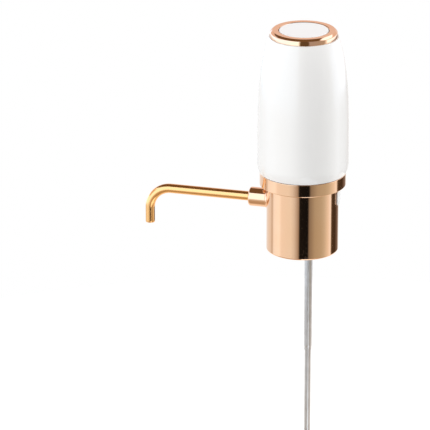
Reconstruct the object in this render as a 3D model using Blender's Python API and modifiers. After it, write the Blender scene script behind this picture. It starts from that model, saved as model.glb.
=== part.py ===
"""Electric wine aerator that sits on a bottle's neck, as separate pieces.

Metres, +Z up. The origin is the middle of the plane in which the bottle's rim
meets the stopper, and the spout points along -X. The barrel above holds a
rechargeable cell, a motor and a diaphragm air pump with a nutating wobble
plate. Air goes down into the bottle and pushes the wine up the telescopic
suction tube, through the manifold and out of the spout.
"""

import math

import bmesh
import bpy
from mathutils import Matrix, Vector

MM = 0.001
FULL_TURN = 2 * math.pi
OBJECT_NAME = "electric_wine_aerator"

# Fits shared by all pieces
SEAT_GAP = 0.3 * MM  # between faces that touch
PRESS_FIT = 0.05 * MM  # round a pressed or glued joint
SLIDE_FIT = 0.08 * MM  # round what slides or turns
CUT_OVERRUN = 1.0 * MM
WELD_DISTANCE = 0.002 * MM

# Facets round a full turn
SHELL_SIDES = 48
ROUND_SIDES = 28
SMALL_SIDES = 16
SCREW_SIDES = 8

# Sleeve round the bottle's neck
SLEEVE_RADIUS = 23.0 * MM
SLEEVE_WALL = 1.2 * MM
SLEEVE_SKIRT = 25.0 * MM  # below the bottle's rim
SLEEVE_RISE = 18.8 * MM  # above the bottle's rim
SLEEVE_EDGE_RADIUS = 0.9 * MM
SHELF_OPENING_INSET = 10.1 * MM  # from the manifold's edge

# Collar ring between sleeve and housing
COLLAR_INSET = 1.6 * MM  # inside the housing's radius
COLLAR_HEIGHT = 8.3 * MM
COLLAR_WALL = 1.5 * MM
COLLAR_EDGE_RADIUS = 0.5 * MM
COLLAR_SPIGOT_HEIGHT = 3.5 * MM
COLLAR_SPIGOT_WALL = 1.4 * MM

# Housing, a barrel shell round what it holds
HOUSING_MARGIN = 4.0 * MM  # from pump and cell to its wall
HOUSING_TAPER = 7.0 * MM  # drawn in at the top
HOUSING_TAPER_POWER = 4.2
HOUSING_WALL = 2.0 * MM
HOUSING_EDGE_RADIUS = 0.8 * MM
HOUSING_RINGS = 8

# Top ring and push button
RING_HEIGHT = 3.9 * MM
RING_FLAT_WIDTH = 4.15 * MM
RING_SHOULDER_WIDTH = 1.9 * MM
RING_SKIRT_DEPTH = 4.1 * MM
RING_SKIRT_WALL = 1.25 * MM
RING_SHOULDER_SETBACK = 0.1 * MM  # from the housing's top edge
RING_CHAMFER_share = 0.38  # of the ring's height
RING_CHAMFER_WIDTH_share = 0.82  # of the shoulder's width
BUTTON_EDGE_RADIUS = 0.5 * MM
BUTTON_TOP_THICKNESS = 1.8 * MM
BUTTON_SKIRT_WALL = 1.45 * MM
BUTTON_FLANGE_WIDTH = 1.0 * MM
BUTTON_FLANGE_THICKNESS = 1.2 * MM
BUTTON_TRAVEL = 1.2 * MM
BUTTON_STEM_RADIUS = 2.0 * MM

# Button guide, its spring and the switch under it
GUIDE_THICKNESS = 2.0 * MM
GUIDE_TUBE_HEIGHT = 3.2 * MM
GUIDE_TUBE_WALL = 1.1 * MM
GUIDE_LEG_RADIUS = 2.6 * MM
GUIDE_LEG_INSET = 3.5 * MM  # from the board's edge
GUIDE_LEG_SETBACK = 1.0 * MM  # from the spine's wall to the screw's head
GUIDE_HEADROOM = 2.2 * MM  # over the guide, with the button up
SPRING_WIRE_RADIUS = 0.3 * MM
SPRING_CLEARANCE = 0.6 * MM
SPRING_TURNS = 5
SPRING_POINTS_PER_TURN = 10
COIL_BEVEL_RESOLUTION = 2
SWITCH_WIDTH = 6.2 * MM
SWITCH_HEIGHT = 3.4 * MM
SWITCH_PLUNGER_RADIUS = 1.75 * MM
SWITCH_PLUNGER_RISE = 1.4 * MM
SWITCH_PLUNGER_DEPTH = 0.9 * MM
SWITCH_TRAVEL = 0.3 * MM
BOARD_THICKNESS = 1.3 * MM
BOARD_MARGIN = 8.1 * MM
CHIP_HEIGHT = 1.4 * MM
CHIP_LENGTH = 6.0 * MM
CHIP_WIDTH = 4.0 * MM
CHIP_OFFSET = 10.0 * MM

# Screws, one set of sizes
SCREW_RADIUS = 1.1 * MM
SCREW_HEAD_RADIUS = 2.1 * MM
SCREW_HEAD_HEIGHT = 1.5 * MM
SCREW_DRIVE_RADIUS = 0.9 * MM
SCREW_DRIVE_DEPTH = 0.8 * MM
SCREW_CLEARANCE = 0.25 * MM
SCREW_BITE = 4.0 * MM

# Frame inside the housing
BASE_THICKNESS = 3.0 * MM
SPINE_THICKNESS = 2.2 * MM
SPINE_MARGIN = 7.1 * MM  # from its upright edges to the housing
SPINE_TOP_THICKNESS = 2.4 * MM
SPINE_WINDOW_HALF_WIDTH = 3.2 * MM
SADDLE_THICKNESS = 3.0 * MM
SADDLE_HALF_WIDTH = 8.0 * MM
HEADROOM = 3.15 * MM  # between the tallest inner piece and the spine's top plate
STRAP_THICKNESS = 1.5 * MM
STRAP_HEIGHT = 7.0 * MM
STRAP_EAR = 3.6 * MM
CABLE_HOLE_RADIUS = 1.5 * MM

# Cell, of the common 18.3 by 65 size
CELL_RADIUS = 9.15 * MM
CELL_LENGTH = 65.0 * MM
CELL_EDGE_RADIUS = 0.8 * MM
CELL_NUB_RADIUS = 2.8 * MM
CELL_NUB_HEIGHT = 0.8 * MM

# Diaphragm pump, from its air nipple up
PUMP_RADIUS = 12.4 * MM
PUMP_LIFT = 11.6 * MM  # room for the hose under the pump
PUMP_HEAD_HEIGHT = 3.2 * MM
PUMP_CHAMBER_RADIUS = 6.5 * MM
PUMP_CHAMBER_DEPTH = 2.0 * MM
NIPPLE_RADIUS = 1.0 * MM
NIPPLE_BORE_RADIUS = 0.55 * MM
NIPPLE_LENGTH = 5.0 * MM
VALVE_PLATE_THICKNESS = 1.8 * MM
VALVE_PORT_RADIUS = 0.7 * MM
VALVE_UMBRELLA_RADIUS = 4.4 * MM
VALVE_UMBRELLA_THICKNESS = 0.6 * MM
VALVE_STEM_RADIUS = 0.9 * MM
VALVE_STEM_REACH = 2.2 * MM
DIAPHRAGM_THICKNESS = 0.8 * MM
CUP_COUNT = 3
CUP_CIRCLE_RADIUS = 6.2 * MM
CUP_BASE_RADIUS = 3.5 * MM
CUP_TOP_RADIUS = 1.9 * MM
CUP_WALL = 0.8 * MM
CUP_CLEARANCE = 0.5 * MM
CUP_POST_RADIUS = 0.85 * MM
CUP_BEAD_RADIUS = 1.6 * MM
CUP_BEAD_HEIGHT = 0.8 * MM
PUMP_BODY_HEIGHT = 14.5 * MM
PUMP_BODY_WALL = 1.6 * MM
PUMP_BODY_FLOOR = 2.0 * MM
PUMP_PIVOT_RADIUS = 1.8 * MM
PUMP_PIVOT_HEIGHT = 1.3 * MM
PUMP_SCREW_CIRCLE_RADIUS = 10.2 * MM
PUMP_SCREW_RADIUS = 0.9 * MM
PUMP_SCREW_HEAD_RADIUS = 1.5 * MM
PUMP_SCREW_HEAD_HEIGHT = 1.0 * MM
PUMP_BOSS_RADIUS = 2.0 * MM
INLET_WIDTH = 2.0 * MM

# Wobble plate and its drive
TILT = math.radians(7.0)
WOBBLE_HUB_RADIUS = 2.6 * MM
WOBBLE_HUB_START = 1.2 * MM
WOBBLE_HUB_LENGTH = 3.0 * MM
WOBBLE_ARM_REACH = 8.4 * MM
WOBBLE_ARM_WIDTH = 4.2 * MM
WOBBLE_ARM_START = 2.2 * MM
WOBBLE_ARM_THICKNESS = 1.4 * MM
CRANK_PIN_RADIUS = 0.8 * MM
CRANK_PIN_LENGTH = 7.4 * MM
DRIVE_WHEEL_RADIUS = 5.5 * MM
DRIVE_WHEEL_HEIGHT = 4.0 * MM
DRIVE_WHEEL_LIFT = 5.9 * MM  # above the crank pin's lower end
DRIVE_PIN_DEPTH = 1.8 * MM
DRIVE_SHAFT_DEPTH = 1.8 * MM

# Motor
MOTOR_PLATE_THICKNESS = 2.0 * MM
MOTOR_RADIUS = 12.2 * MM
MOTOR_LENGTH = 28.0 * MM
MOTOR_WALL = 1.1 * MM
MOTOR_BOSS_RADIUS = 3.4 * MM
MOTOR_BOSS_HEIGHT = 1.6 * MM
MOTOR_SHAFT_RADIUS = 1.0 * MM
BUSH_RADIUS = 2.4 * MM
BUSH_LENGTH = 2.4 * MM
MAGNET_THICKNESS = 1.8 * MM
MAGNET_GAP_HALF_WIDTH = 1.6 * MM
MAGNET_LENGTH_share = 0.66
ARMATURE_RADIUS = 8.2 * MM
ARMATURE_LENGTH = 17.0 * MM
ARMATURE_POLES = 3
ARMATURE_NECK_HALF_WIDTH = 1.5 * MM
ARMATURE_NECK_RADIUS = 3.4 * MM
ARMATURE_SHOE_RADIUS = 6.7 * MM
ARMATURE_SHOE_HALF_ANGLE = math.radians(48.0)
WINDING_WIDTH = 5.6 * MM
WINDING_OVERHANG = 1.6 * MM
COMMUTATOR_RADIUS = 2.3 * MM
COMMUTATOR_LENGTH = 2.6 * MM
END_CAP_HEIGHT = 3.0 * MM
TERMINAL_OFFSET = 6.0 * MM
TERMINAL_HALF_WIDTH = 1.2 * MM
TERMINAL_HALF_THICKNESS = 0.3 * MM
TERMINAL_HEIGHT = 2.6 * MM

# Stopper in the bottle's mouth
STOPPER_RADIUS = 8.6 * MM
STOPPER_TIP_RADIUS = 8.0 * MM
STOPPER_LENGTH = 20.0 * MM
STOPPER_FLANGE_INSET = 4.0 * MM  # from the manifold's edge
STOPPER_FLANGE_THICKNESS = 2.0 * MM
STOPPER_RIB_RADIUS = 9.7 * MM
STOPPER_RIB_HEIGHT = 1.6 * MM
STOPPER_RIBS = 4

# Manifold, with its wine channel and air channel
MANIFOLD_HEIGHT = 15.0 * MM
WINE_CHANNEL_RADIUS = 2.0 * MM
SPOUT_LEVEL = 7.0 * MM  # above the bottle's rim
AIR_PORT_X = -3.0 * MM
AIR_PORT_Y = 4.7 * MM
AIR_NIPPLE_INSET = 3.4 * MM  # from the shelf opening's edge
AIR_NIPPLE_Y = 3.5 * MM
AIR_NIPPLE_LENGTH = 4.0 * MM
MANIFOLD_SCREW_INSET = 7.0 * MM  # from the manifold's edge
MANIFOLD_SCREW_ANGLES = (math.radians(31.0), math.radians(151.0), math.radians(271.0))

# Telescopic suction tube
TUBE_AXIS_X = 4.3 * MM
TUBE_RADIUS = 2.5 * MM
TUBE_WALL = 0.3 * MM
TUBE_STEP = 0.5 * MM  # each section is this much less in radius
TUBE_LENGTH = 99.5 * MM
TUBE_OVERLAP = 8.0 * MM
TUBE_CRIMP_LENGTH = 3.0 * MM
TUBE_FLARE_LENGTH = 4.0 * MM
FOOT_RADIUS = 2.4 * MM
FOOT_LENGTH = 6.0 * MM
FOOT_BELOW = 1.5 * MM
FOOT_NOTCH_HALF_WIDTH = 0.7 * MM
FOOT_NOTCH_HEIGHT = 1.2 * MM

# Spout
BOSS_RADIUS = 6.5 * MM
BOSS_RISE = 0.4 * MM
BOSS_BORE_RADIUS = 4.1 * MM
NIPPLE_PIPE_RADIUS = 3.4 * MM
NIPPLE_PIPE_BORE_RADIUS = 2.0 * MM
NIPPLE_FLANGE_RADIUS = 4.0 * MM
NIPPLE_FLANGE_LENGTH = 2.2 * MM
NIPPLE_REACH = 8.3 * MM  # out of the boss
NIPPLE_SEAT_DEPTH = 7.0 * MM  # in the manifold
RING_SEAL_SECTION_RADIUS = 0.65 * MM
RING_SEAL_SETBACK = 2.6 * MM
RING_SEAL_GROOVE_DEPTH = 0.9 * MM
FERRULE_RADIUS = 6.1 * MM
FERRULE_LENGTH = 11.3 * MM
FERRULE_NOSE_LENGTH = 1.5 * MM
FERRULE_NOSE_WALL = 1.4 * MM
FERRULE_BORE_CLEARANCE = 0.55 * MM
SPOUT_RADIUS = 3.0 * MM
SPOUT_BORE_RADIUS = 2.3 * MM
SPOUT_REACH = 101.5 * MM  # from the barrel's axis to the outlet's
SPOUT_DROP = 24.1 * MM
SPOUT_BEND_RADIUS = 14.0 * MM
SPOUT_BEND_STEPS = 9
SPOUT_STRAIGHT_STEPS = 3
SPOUT_BEVEL_RESOLUTION = 6

# Charging port and its flap
PORT_LEVEL = 11.9 * MM
PORT_HALF_HEIGHT = 4.5 * MM
PORT_HALF_WIDTH = 1.95 * MM
FLAP_HALF_HEIGHT = 4.8 * MM
FLAP_HALF_WIDTH = 3.0 * MM
FLAP_THICKNESS = 0.9 * MM
FLAP_EDGE_RADIUS = 0.35 * MM
FLAP_PLUG_DEPTH = 1.2 * MM
FLAP_PLUG_CLEARANCE = 0.35 * MM
SOCKET_HALF_HEIGHT = 4.5 * MM
SOCKET_HALF_WIDTH = 1.6 * MM
SOCKET_LENGTH = 7.3 * MM
SOCKET_WALL = 0.35 * MM
SOCKET_TONGUE_HALF_THICKNESS = 0.35 * MM
SOCKET_CORNER_RADIUS = 1.2 * MM
SOCKET_SETBACK = 2.6 * MM  # inside the sleeve's outer face
CHARGE_BOARD_THICKNESS = 1.0 * MM
CHARGE_BOARD_LENGTH = 11.0 * MM
CHARGE_BOARD_HALF_HEIGHT = 5.2 * MM
CHARGE_POCKET_CLEARANCE = 0.4 * MM

# Wires and hose
LEAD_RADIUS = 0.55 * MM
CHARGE_LEAD_TURN_share = 0.6
HOSE_RADIUS = 2.0 * MM
HOSE_BORE_RADIUS = 1.3 * MM

# Widths worked out from the sizes above, from the pump and the cell out
PUMP_SIDE = 2 * PUMP_RADIUS
CELL_SIDE = 2 * CELL_RADIUS
CONTENT_WIDTH = PUMP_SIDE + SEAT_GAP + SPINE_THICKNESS + 2 * SEAT_GAP + CELL_SIDE
HOUSING_BORE_RADIUS = CONTENT_WIDTH / 2 + HOUSING_MARGIN
HOUSING_RADIUS = HOUSING_BORE_RADIUS + HOUSING_WALL
COLLAR_RADIUS = HOUSING_RADIUS - COLLAR_INSET
SPINE_HALF_WIDTH = HOUSING_BORE_RADIUS - SPINE_MARGIN
BOARD_RADIUS = HOUSING_BORE_RADIUS - BOARD_MARGIN
GUIDE_LEG_OFFSET = BOARD_RADIUS - GUIDE_LEG_INSET
RING_SHOULDER_RADIUS = HOUSING_RADIUS - HOUSING_TAPER - RING_SHOULDER_SETBACK
RING_FLAT_RADIUS = RING_SHOULDER_RADIUS - RING_SHOULDER_WIDTH
RING_BORE_RADIUS = RING_FLAT_RADIUS - RING_FLAT_WIDTH
BUTTON_RADIUS = RING_BORE_RADIUS - SEAT_GAP
RING_SKIRT_RADIUS = RING_BORE_RADIUS + RING_SKIRT_WALL
HOUSING_LIP_RADIUS = RING_SKIRT_RADIUS + SEAT_GAP

# Heights worked out from the sizes above, from the bottom up
FLANGE_TOP = STOPPER_FLANGE_THICKNESS
MANIFOLD_BOTTOM = FLANGE_TOP + SEAT_GAP
MANIFOLD_TOP = MANIFOLD_BOTTOM + MANIFOLD_HEIGHT
MANIFOLD_RADIUS = SLEEVE_RADIUS - SLEEVE_WALL - SEAT_GAP
STOPPER_FLANGE_RADIUS = MANIFOLD_RADIUS - STOPPER_FLANGE_INSET
MANIFOLD_SCREW_CIRCLE_RADIUS = MANIFOLD_RADIUS - MANIFOLD_SCREW_INSET
SHELF_OPENING_RADIUS = MANIFOLD_RADIUS - SHELF_OPENING_INSET
AIR_NIPPLE_X = AIR_NIPPLE_INSET - SHELF_OPENING_RADIUS
SHELF_BOTTOM = SLEEVE_RISE - SLEEVE_WALL
COLLAR_BOTTOM = SLEEVE_RISE + SEAT_GAP
COLLAR_TOP = COLLAR_BOTTOM + COLLAR_HEIGHT
COLLAR_FLOOR_TOP = COLLAR_BOTTOM + COLLAR_WALL
BASE_BOTTOM = COLLAR_FLOOR_TOP + SEAT_GAP
BASE_TOP = BASE_BOTTOM + BASE_THICKNESS
HOUSING_BOTTOM = COLLAR_TOP + SEAT_GAP
SPIGOT_RADIUS = HOUSING_BORE_RADIUS - SEAT_GAP
SPIGOT_BORE_RADIUS = SPIGOT_RADIUS - COLLAR_SPIGOT_WALL
SPINE_BOTTOM = BASE_TOP + SEAT_GAP

HEAD_BOTTOM = BASE_TOP + PUMP_LIFT
HEAD_TOP = HEAD_BOTTOM + PUMP_HEAD_HEIGHT
VALVE_BOTTOM = HEAD_TOP + SEAT_GAP
VALVE_TOP = VALVE_BOTTOM + VALVE_PLATE_THICKNESS
DIAPHRAGM_BOTTOM = VALVE_TOP + SEAT_GAP
DIAPHRAGM_TOP = DIAPHRAGM_BOTTOM + DIAPHRAGM_THICKNESS
BODY_BOTTOM = DIAPHRAGM_TOP + SEAT_GAP
BODY_FLOOR_TOP = BODY_BOTTOM + PUMP_BODY_FLOOR
BODY_TOP = BODY_BOTTOM + PUMP_BODY_HEIGHT
PIVOT_LEVEL = BODY_FLOOR_TOP + PUMP_PIVOT_HEIGHT + SEAT_GAP
PLATE_BOTTOM = BODY_TOP + SEAT_GAP
PLATE_TOP = PLATE_BOTTOM + MOTOR_PLATE_THICKNESS
MOTOR_BOTTOM = PLATE_TOP + SEAT_GAP
MOTOR_TOP = MOTOR_BOTTOM + MOTOR_LENGTH
END_CAP_BOTTOM = MOTOR_TOP + SEAT_GAP
END_CAP_TOP = END_CAP_BOTTOM + END_CAP_HEIGHT
CELL_BOTTOM = BASE_TOP + SEAT_GAP
CELL_TOP = CELL_BOTTOM + CELL_LENGTH
CONTENT_TOP = max(END_CAP_TOP + TERMINAL_HEIGHT, CELL_TOP + CELL_NUB_HEIGHT)

SPINE_TOP_BOTTOM = CONTENT_TOP + HEADROOM
SPINE_TOP = SPINE_TOP_BOTTOM + SPINE_TOP_THICKNESS
BOARD_BOTTOM = SPINE_TOP + SEAT_GAP
BOARD_TOP = BOARD_BOTTOM + BOARD_THICKNESS
SWITCH_BOTTOM = BOARD_TOP + SEAT_GAP
SWITCH_TOP = SWITCH_BOTTOM + SWITCH_HEIGHT
PLUNGER_TOP = SWITCH_TOP + SWITCH_PLUNGER_RISE
STEM_BOTTOM = PLUNGER_TOP + BUTTON_TRAVEL - SWITCH_TRAVEL + PRESS_FIT
GUIDE_BOTTOM = STEM_BOTTOM + SEAT_GAP
GUIDE_TOP = GUIDE_BOTTOM + GUIDE_THICKNESS
BUTTON_FLANGE_BOTTOM = GUIDE_TOP + BUTTON_TRAVEL + GUIDE_HEADROOM
BUTTON_FLANGE_TOP = BUTTON_FLANGE_BOTTOM + BUTTON_FLANGE_THICKNESS
RING_SKIRT_BOTTOM = BUTTON_FLANGE_TOP + SEAT_GAP
RING_BOTTOM = RING_SKIRT_BOTTOM + RING_SKIRT_DEPTH
RING_TOP = RING_BOTTOM + RING_HEIGHT
BUTTON_TOP = RING_TOP
HOUSING_TOP = RING_BOTTOM - SEAT_GAP


# The spine stands where what lies on its two sides fills the housing evenly
SPINE_MIDDLE = (PUMP_SIDE - CELL_SIDE - SEAT_GAP) / 2
SPINE_LEFT = SPINE_MIDDLE - SPINE_THICKNESS / 2
SPINE_RIGHT = SPINE_MIDDLE + SPINE_THICKNESS / 2
PUMP_X = SPINE_LEFT - SEAT_GAP - PUMP_RADIUS
CELL_X = SPINE_RIGHT + 2 * SEAT_GAP + CELL_RADIUS

# Tilted axis of the wobble plate, through the lower end of the crank pin
PIVOT = Vector((PUMP_X, 0, PIVOT_LEVEL))
TILT_AXIS = Vector((math.sin(TILT), 0, math.cos(TILT)))
WOBBLE_TURN = Matrix.Translation(PIVOT) @ Matrix.Rotation(TILT, 4, "Y")

# Spout stations, as distances out from the barrel's axis along -X
BOSS_FACE = SLEEVE_RADIUS + BOSS_RISE
FERRULE_START = BOSS_FACE + SEAT_GAP
FERRULE_END = FERRULE_START + FERRULE_LENGTH
NIPPLE_END = BOSS_FACE + NIPPLE_REACH
FERRULE_WALL_START = NIPPLE_END + SEAT_GAP
NIPPLE_START = MANIFOLD_RADIUS - NIPPLE_SEAT_DEPTH

TUBE_TOP = SPOUT_LEVEL - WINE_CHANNEL_RADIUS - SEAT_GAP
TUBE_PITCH = TUBE_LENGTH - TUBE_OVERLAP
SOCKET_FACE = SLEEVE_RADIUS - SOCKET_SETBACK
FLAP_BACK = SLEEVE_RADIUS + SEAT_GAP
FLAP_HINGE = Vector((FLAP_BACK + FLAP_THICKNESS / 2, 0, PORT_LEVEL + FLAP_HALF_HEIGHT))

WHITE = (0.93, 0.93, 0.93)
ROSE_GOLD = (0.86, 0.60, 0.44)
YELLOW_GOLD = (0.85, 0.60, 0.28)
SILICONE = (0.82, 0.82, 0.80)
BLACK = (0.03, 0.03, 0.035)
STEEL = (0.62, 0.62, 0.63)
COPPER = (0.70, 0.32, 0.16)
BOARD_GREEN = (0.02, 0.16, 0.07)
CELL_BLUE = (0.05, 0.14, 0.35)
RED = (0.55, 0.03, 0.03)


def collection(name):
    """A collection of this name, linked to the scene."""
    found = bpy.data.collections.new(name)
    bpy.context.scene.collection.children.link(found)
    return found


for leftover in list(bpy.data.objects):
    bpy.data.objects.remove(leftover)
PARTS = collection(OBJECT_NAME)
CUTTERS = collection("cutters")


def finish(name, colour, roughness, metallic=0.0):
    """A Principled material of one colour."""
    made = bpy.data.materials.new(name)
    made.use_nodes = True
    shader = made.node_tree.nodes["Principled BSDF"]
    shader.inputs["Base Color"].default_value = (*colour, 1)
    shader.inputs["Roughness"].default_value = roughness
    shader.inputs["Metallic"].default_value = metallic
    made.diffuse_color = (*colour, 1)
    return made


def part(item, material):
    """Puts a finished piece in the object's collection, with its material."""
    PARTS.objects.link(item)
    item.data.materials.clear()
    item.data.materials.append(material)
    if item.type == "MESH":
        item.data.shade_smooth()
        item.data.set_sharp_from_angle(angle=math.radians(35))
    return item


def cutter(item):
    """Files a shape that only cuts or joins another, out of the render."""
    CUTTERS.objects.link(item)
    item.hide_render = True
    item.display_type = "WIRE"
    return item


def boolean(item, tool, operation):
    """Adds a live Boolean of this operation to the piece."""
    step = item.modifiers.new(f"{operation.lower()}_{tool.name}", "BOOLEAN")
    step.operation = operation
    step.solver = "EXACT"
    step.object = cutter(tool)


def cut(item, *tools):
    """Takes each tool's shape out of the piece."""
    for tool in tools:
        boolean(item, tool, "DIFFERENCE")
    return item


def join(item, *tools):
    """Adds each tool's shape to the piece."""
    for tool in tools:
        boolean(item, tool, "UNION")
    return item


def from_bmesh(name, mesh_builder):
    """An unlinked object from a finished bmesh."""
    mesh = bpy.data.meshes.new(name)
    mesh_builder.to_mesh(mesh)
    mesh_builder.free()
    return bpy.data.objects.new(name, mesh)


def rod(name, start, end, radius, end_radius=None, sides=SMALL_SIDES):
    """A capped cylinder, or a cone, between two points."""
    start = Vector(start)
    end = Vector(end)
    along = end - start
    builder = bmesh.new()
    bmesh.ops.create_cone(
        builder,
        cap_ends=True,
        segments=sides,
        radius1=radius,
        radius2=radius if end_radius is None else end_radius,
        depth=along.length,
    )
    turn = along.to_track_quat("Z", "Y").to_matrix().to_4x4()
    middle = Matrix.Translation((start + end) / 2)
    bmesh.ops.transform(builder, matrix=middle @ turn, verts=builder.verts)
    return from_bmesh(name, builder)


def upright(name, x, y, low, high, radius, sides=SMALL_SIDES):
    """A vertical cylinder over a point."""
    return rod(name, (x, y, low), (x, y, high), radius, sides=sides)


def block(name, low, high, edge=0, axes="XYZ"):
    """A box between two corners; its edges along the named axes are rounded by edge."""
    low = Vector(low)
    high = Vector(high)
    builder = bmesh.new()
    bmesh.ops.create_cube(builder, size=1)
    scale = Matrix.Diagonal((*(high - low), 1))
    bmesh.ops.transform(builder, matrix=Matrix.Translation((low + high) / 2) @ scale, verts=builder.verts)
    if edge:
        chosen = []
        for one in builder.edges:
            along = one.verts[1].co - one.verts[0].co
            longest = max(range(3), key=lambda axis: abs(along[axis]))
            if "XYZ"[longest] in axes:
                chosen.append(one)
        bmesh.ops.bevel(builder, geom=chosen, offset=edge, segments=2, profile=0.5, affect="EDGES")
    return from_bmesh(name, builder)


def turned(name, profile, sides=ROUND_SIDES, closed=True, place=(0, 0, 0), turn=(0, 0, 0)):
    """A profile of (radius, height) turned about the object's own Z axis.

    It runs down the outer side. A closed one is a ring; an open one starts and
    ends on the axis.
    """
    mesh = bpy.data.meshes.new(name)
    points = [(radius, 0, height) for radius, height in profile]
    lines = [(i, i + 1) for i in range(len(points) - 1)]
    if closed:
        lines.append((len(points) - 1, 0))
    mesh.from_pydata(points, lines, [])
    item = bpy.data.objects.new(name, mesh)
    item.location = place
    item.rotation_euler = turn
    screw = item.modifiers.new("turned", "SCREW")
    screw.axis = "Z"
    screw.angle = FULL_TURN
    screw.steps = sides
    screw.render_steps = sides
    screw.use_merge_vertices = True
    screw.merge_threshold = WELD_DISTANCE
    screw.use_smooth_shade = True
    return item


def arc(middle, radius, start, end, steps):
    """Points of an arc in a profile, from one angle to the other, in degrees."""
    points = []
    for step in range(steps + 1):
        angle = math.radians(start + (end - start) * step / steps)
        points.append((middle[0] + radius * math.cos(angle), middle[1] + radius * math.sin(angle)))
    return points


def flat(name, outline, low, high):
    """A flat outline of (x, y) points as a plate between two heights."""
    curve = bpy.data.curves.new(name, "CURVE")
    curve.dimensions = "2D"
    curve.fill_mode = "BOTH"
    curve.extrude = (high - low) / 2
    spline = curve.splines.new("POLY")
    spline.points.add(len(outline) - 1)
    for point, (x, y) in zip(spline.points, outline):
        point.co = (x, y, 0, 1)
    spline.use_cyclic_u = True
    item = bpy.data.objects.new(name, curve)
    item.location = (0, 0, (low + high) / 2)
    return item


def wire(name, points, radius, resolution=1):
    """A tube with filled caps along points already set close together."""
    curve = bpy.data.curves.new(name, "CURVE")
    curve.dimensions = "3D"
    curve.bevel_depth = radius
    curve.bevel_resolution = resolution
    curve.use_fill_caps = True
    spline = curve.splines.new("POLY")
    spline.points.add(len(points) - 1)
    for spot, point in zip(spline.points, points):
        spot.co = (*point, 1)
    return bpy.data.objects.new(name, curve)


def as_mesh(item):
    """The curve object made a mesh, with its caps welded."""
    name = item.name
    bpy.context.scene.collection.objects.link(item)
    depsgraph = bpy.context.evaluated_depsgraph_get()
    mesh = bpy.data.meshes.new_from_object(item.evaluated_get(depsgraph))
    builder = bmesh.new()
    builder.from_mesh(mesh)
    bmesh.ops.remove_doubles(builder, verts=builder.verts, dist=WELD_DISTANCE)
    builder.to_mesh(mesh)
    builder.free()
    made = bpy.data.objects.new(name, mesh)
    made.matrix_world = item.matrix_world
    bpy.data.objects.remove(item)
    made.name = name
    return made


def smooth_route(route, steps):
    """A Catmull-Rom curve through the route's own points."""
    ends = [2 * route[0] - route[1], *route, 2 * route[-1] - route[-2]]
    points = []
    for i in range(1, len(ends) - 2):
        before, start, end, after = ends[i - 1 : i + 3]
        for step in range(steps):
            t = step / steps
            bend = 2 * before - 5 * start + 4 * end - after
            turn = 3 * start - before - 3 * end + after
            points.append(start + ((end - before) * t + bend * t * t + turn * t * t * t) / 2)
    points.append(route[-1])
    return points


def pivot(name, place):
    """An empty on a joint's axis, which carries the pieces of one moving body."""
    empty = bpy.data.objects.new(name, None)
    empty.empty_display_size = SLEEVE_RADIUS
    empty.location = place
    PARTS.objects.link(empty)
    return empty


def carry(empty, *pieces):
    """Parents the pieces to the joint's empty, where they are."""
    for piece in pieces:
        piece.parent = empty
        piece.matrix_parent_inverse = Matrix.Translation(empty.location).inverted()


def screw(name, x, y, seat, bite, radius=SCREW_RADIUS, head_radius=SCREW_HEAD_RADIUS,
          head_height=SCREW_HEAD_HEIGHT):
    """A pan-head screw that points up: its head hangs below the seat, its shank ends at bite."""
    drive = SCREW_DRIVE_RADIUS * head_radius / SCREW_HEAD_RADIUS
    depth = SCREW_DRIVE_DEPTH * head_height / SCREW_HEAD_HEIGHT
    profile = [
        (0, bite),
        (radius, bite - radius),
        (radius, seat),
        (head_radius, seat),
        (head_radius, seat - head_height / 2),
        (drive, seat - head_height),
        (drive, seat - head_height + depth),
        (0, seat - head_height + depth),
    ]
    return turned(name, profile, sides=SCREW_SIDES, closed=False, place=(x, y, 0))


def housing_radius(level):
    """The housing's outer radius at a height: full low down, drawn in by a power law above."""
    share = (level - HOUSING_BOTTOM) / (HOUSING_TOP - HOUSING_BOTTOM)
    return HOUSING_RADIUS - HOUSING_TAPER * max(share, 0) ** HOUSING_TAPER_POWER


def housing_bore(level):
    """The housing's inner radius at a height."""
    return housing_radius(level) - HOUSING_WALL


def housing_levels(low, high):
    """Heights from low to high that lie closer together towards the top, where the wall bends most."""
    levels = []
    for ring in range(HOUSING_RINGS + 1):
        levels.append(low + (high - low) * math.sin(math.pi / 2 * ring / HOUSING_RINGS))
    return levels


def make_housing(white):
    """The white barrel, open below, with an inward lip that carries the top ring."""
    lip_bottom = HOUSING_TOP - HOUSING_WALL
    edge = HOUSING_EDGE_RADIUS
    body_bottom = HOUSING_BOTTOM + edge
    outer = [(housing_radius(level), level) for level in reversed(housing_levels(body_bottom, HOUSING_TOP))]
    foot = arc((HOUSING_RADIUS - edge, body_bottom), edge, 0, -90, 3)
    inner = [(housing_bore(level), level) for level in housing_levels(HOUSING_BOTTOM, lip_bottom)]
    profile = [(HOUSING_LIP_RADIUS, HOUSING_TOP), *outer, *foot[1:], *inner, (HOUSING_LIP_RADIUS, lip_bottom)]
    part(turned("housing", profile, SHELL_SIDES), white)


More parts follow.
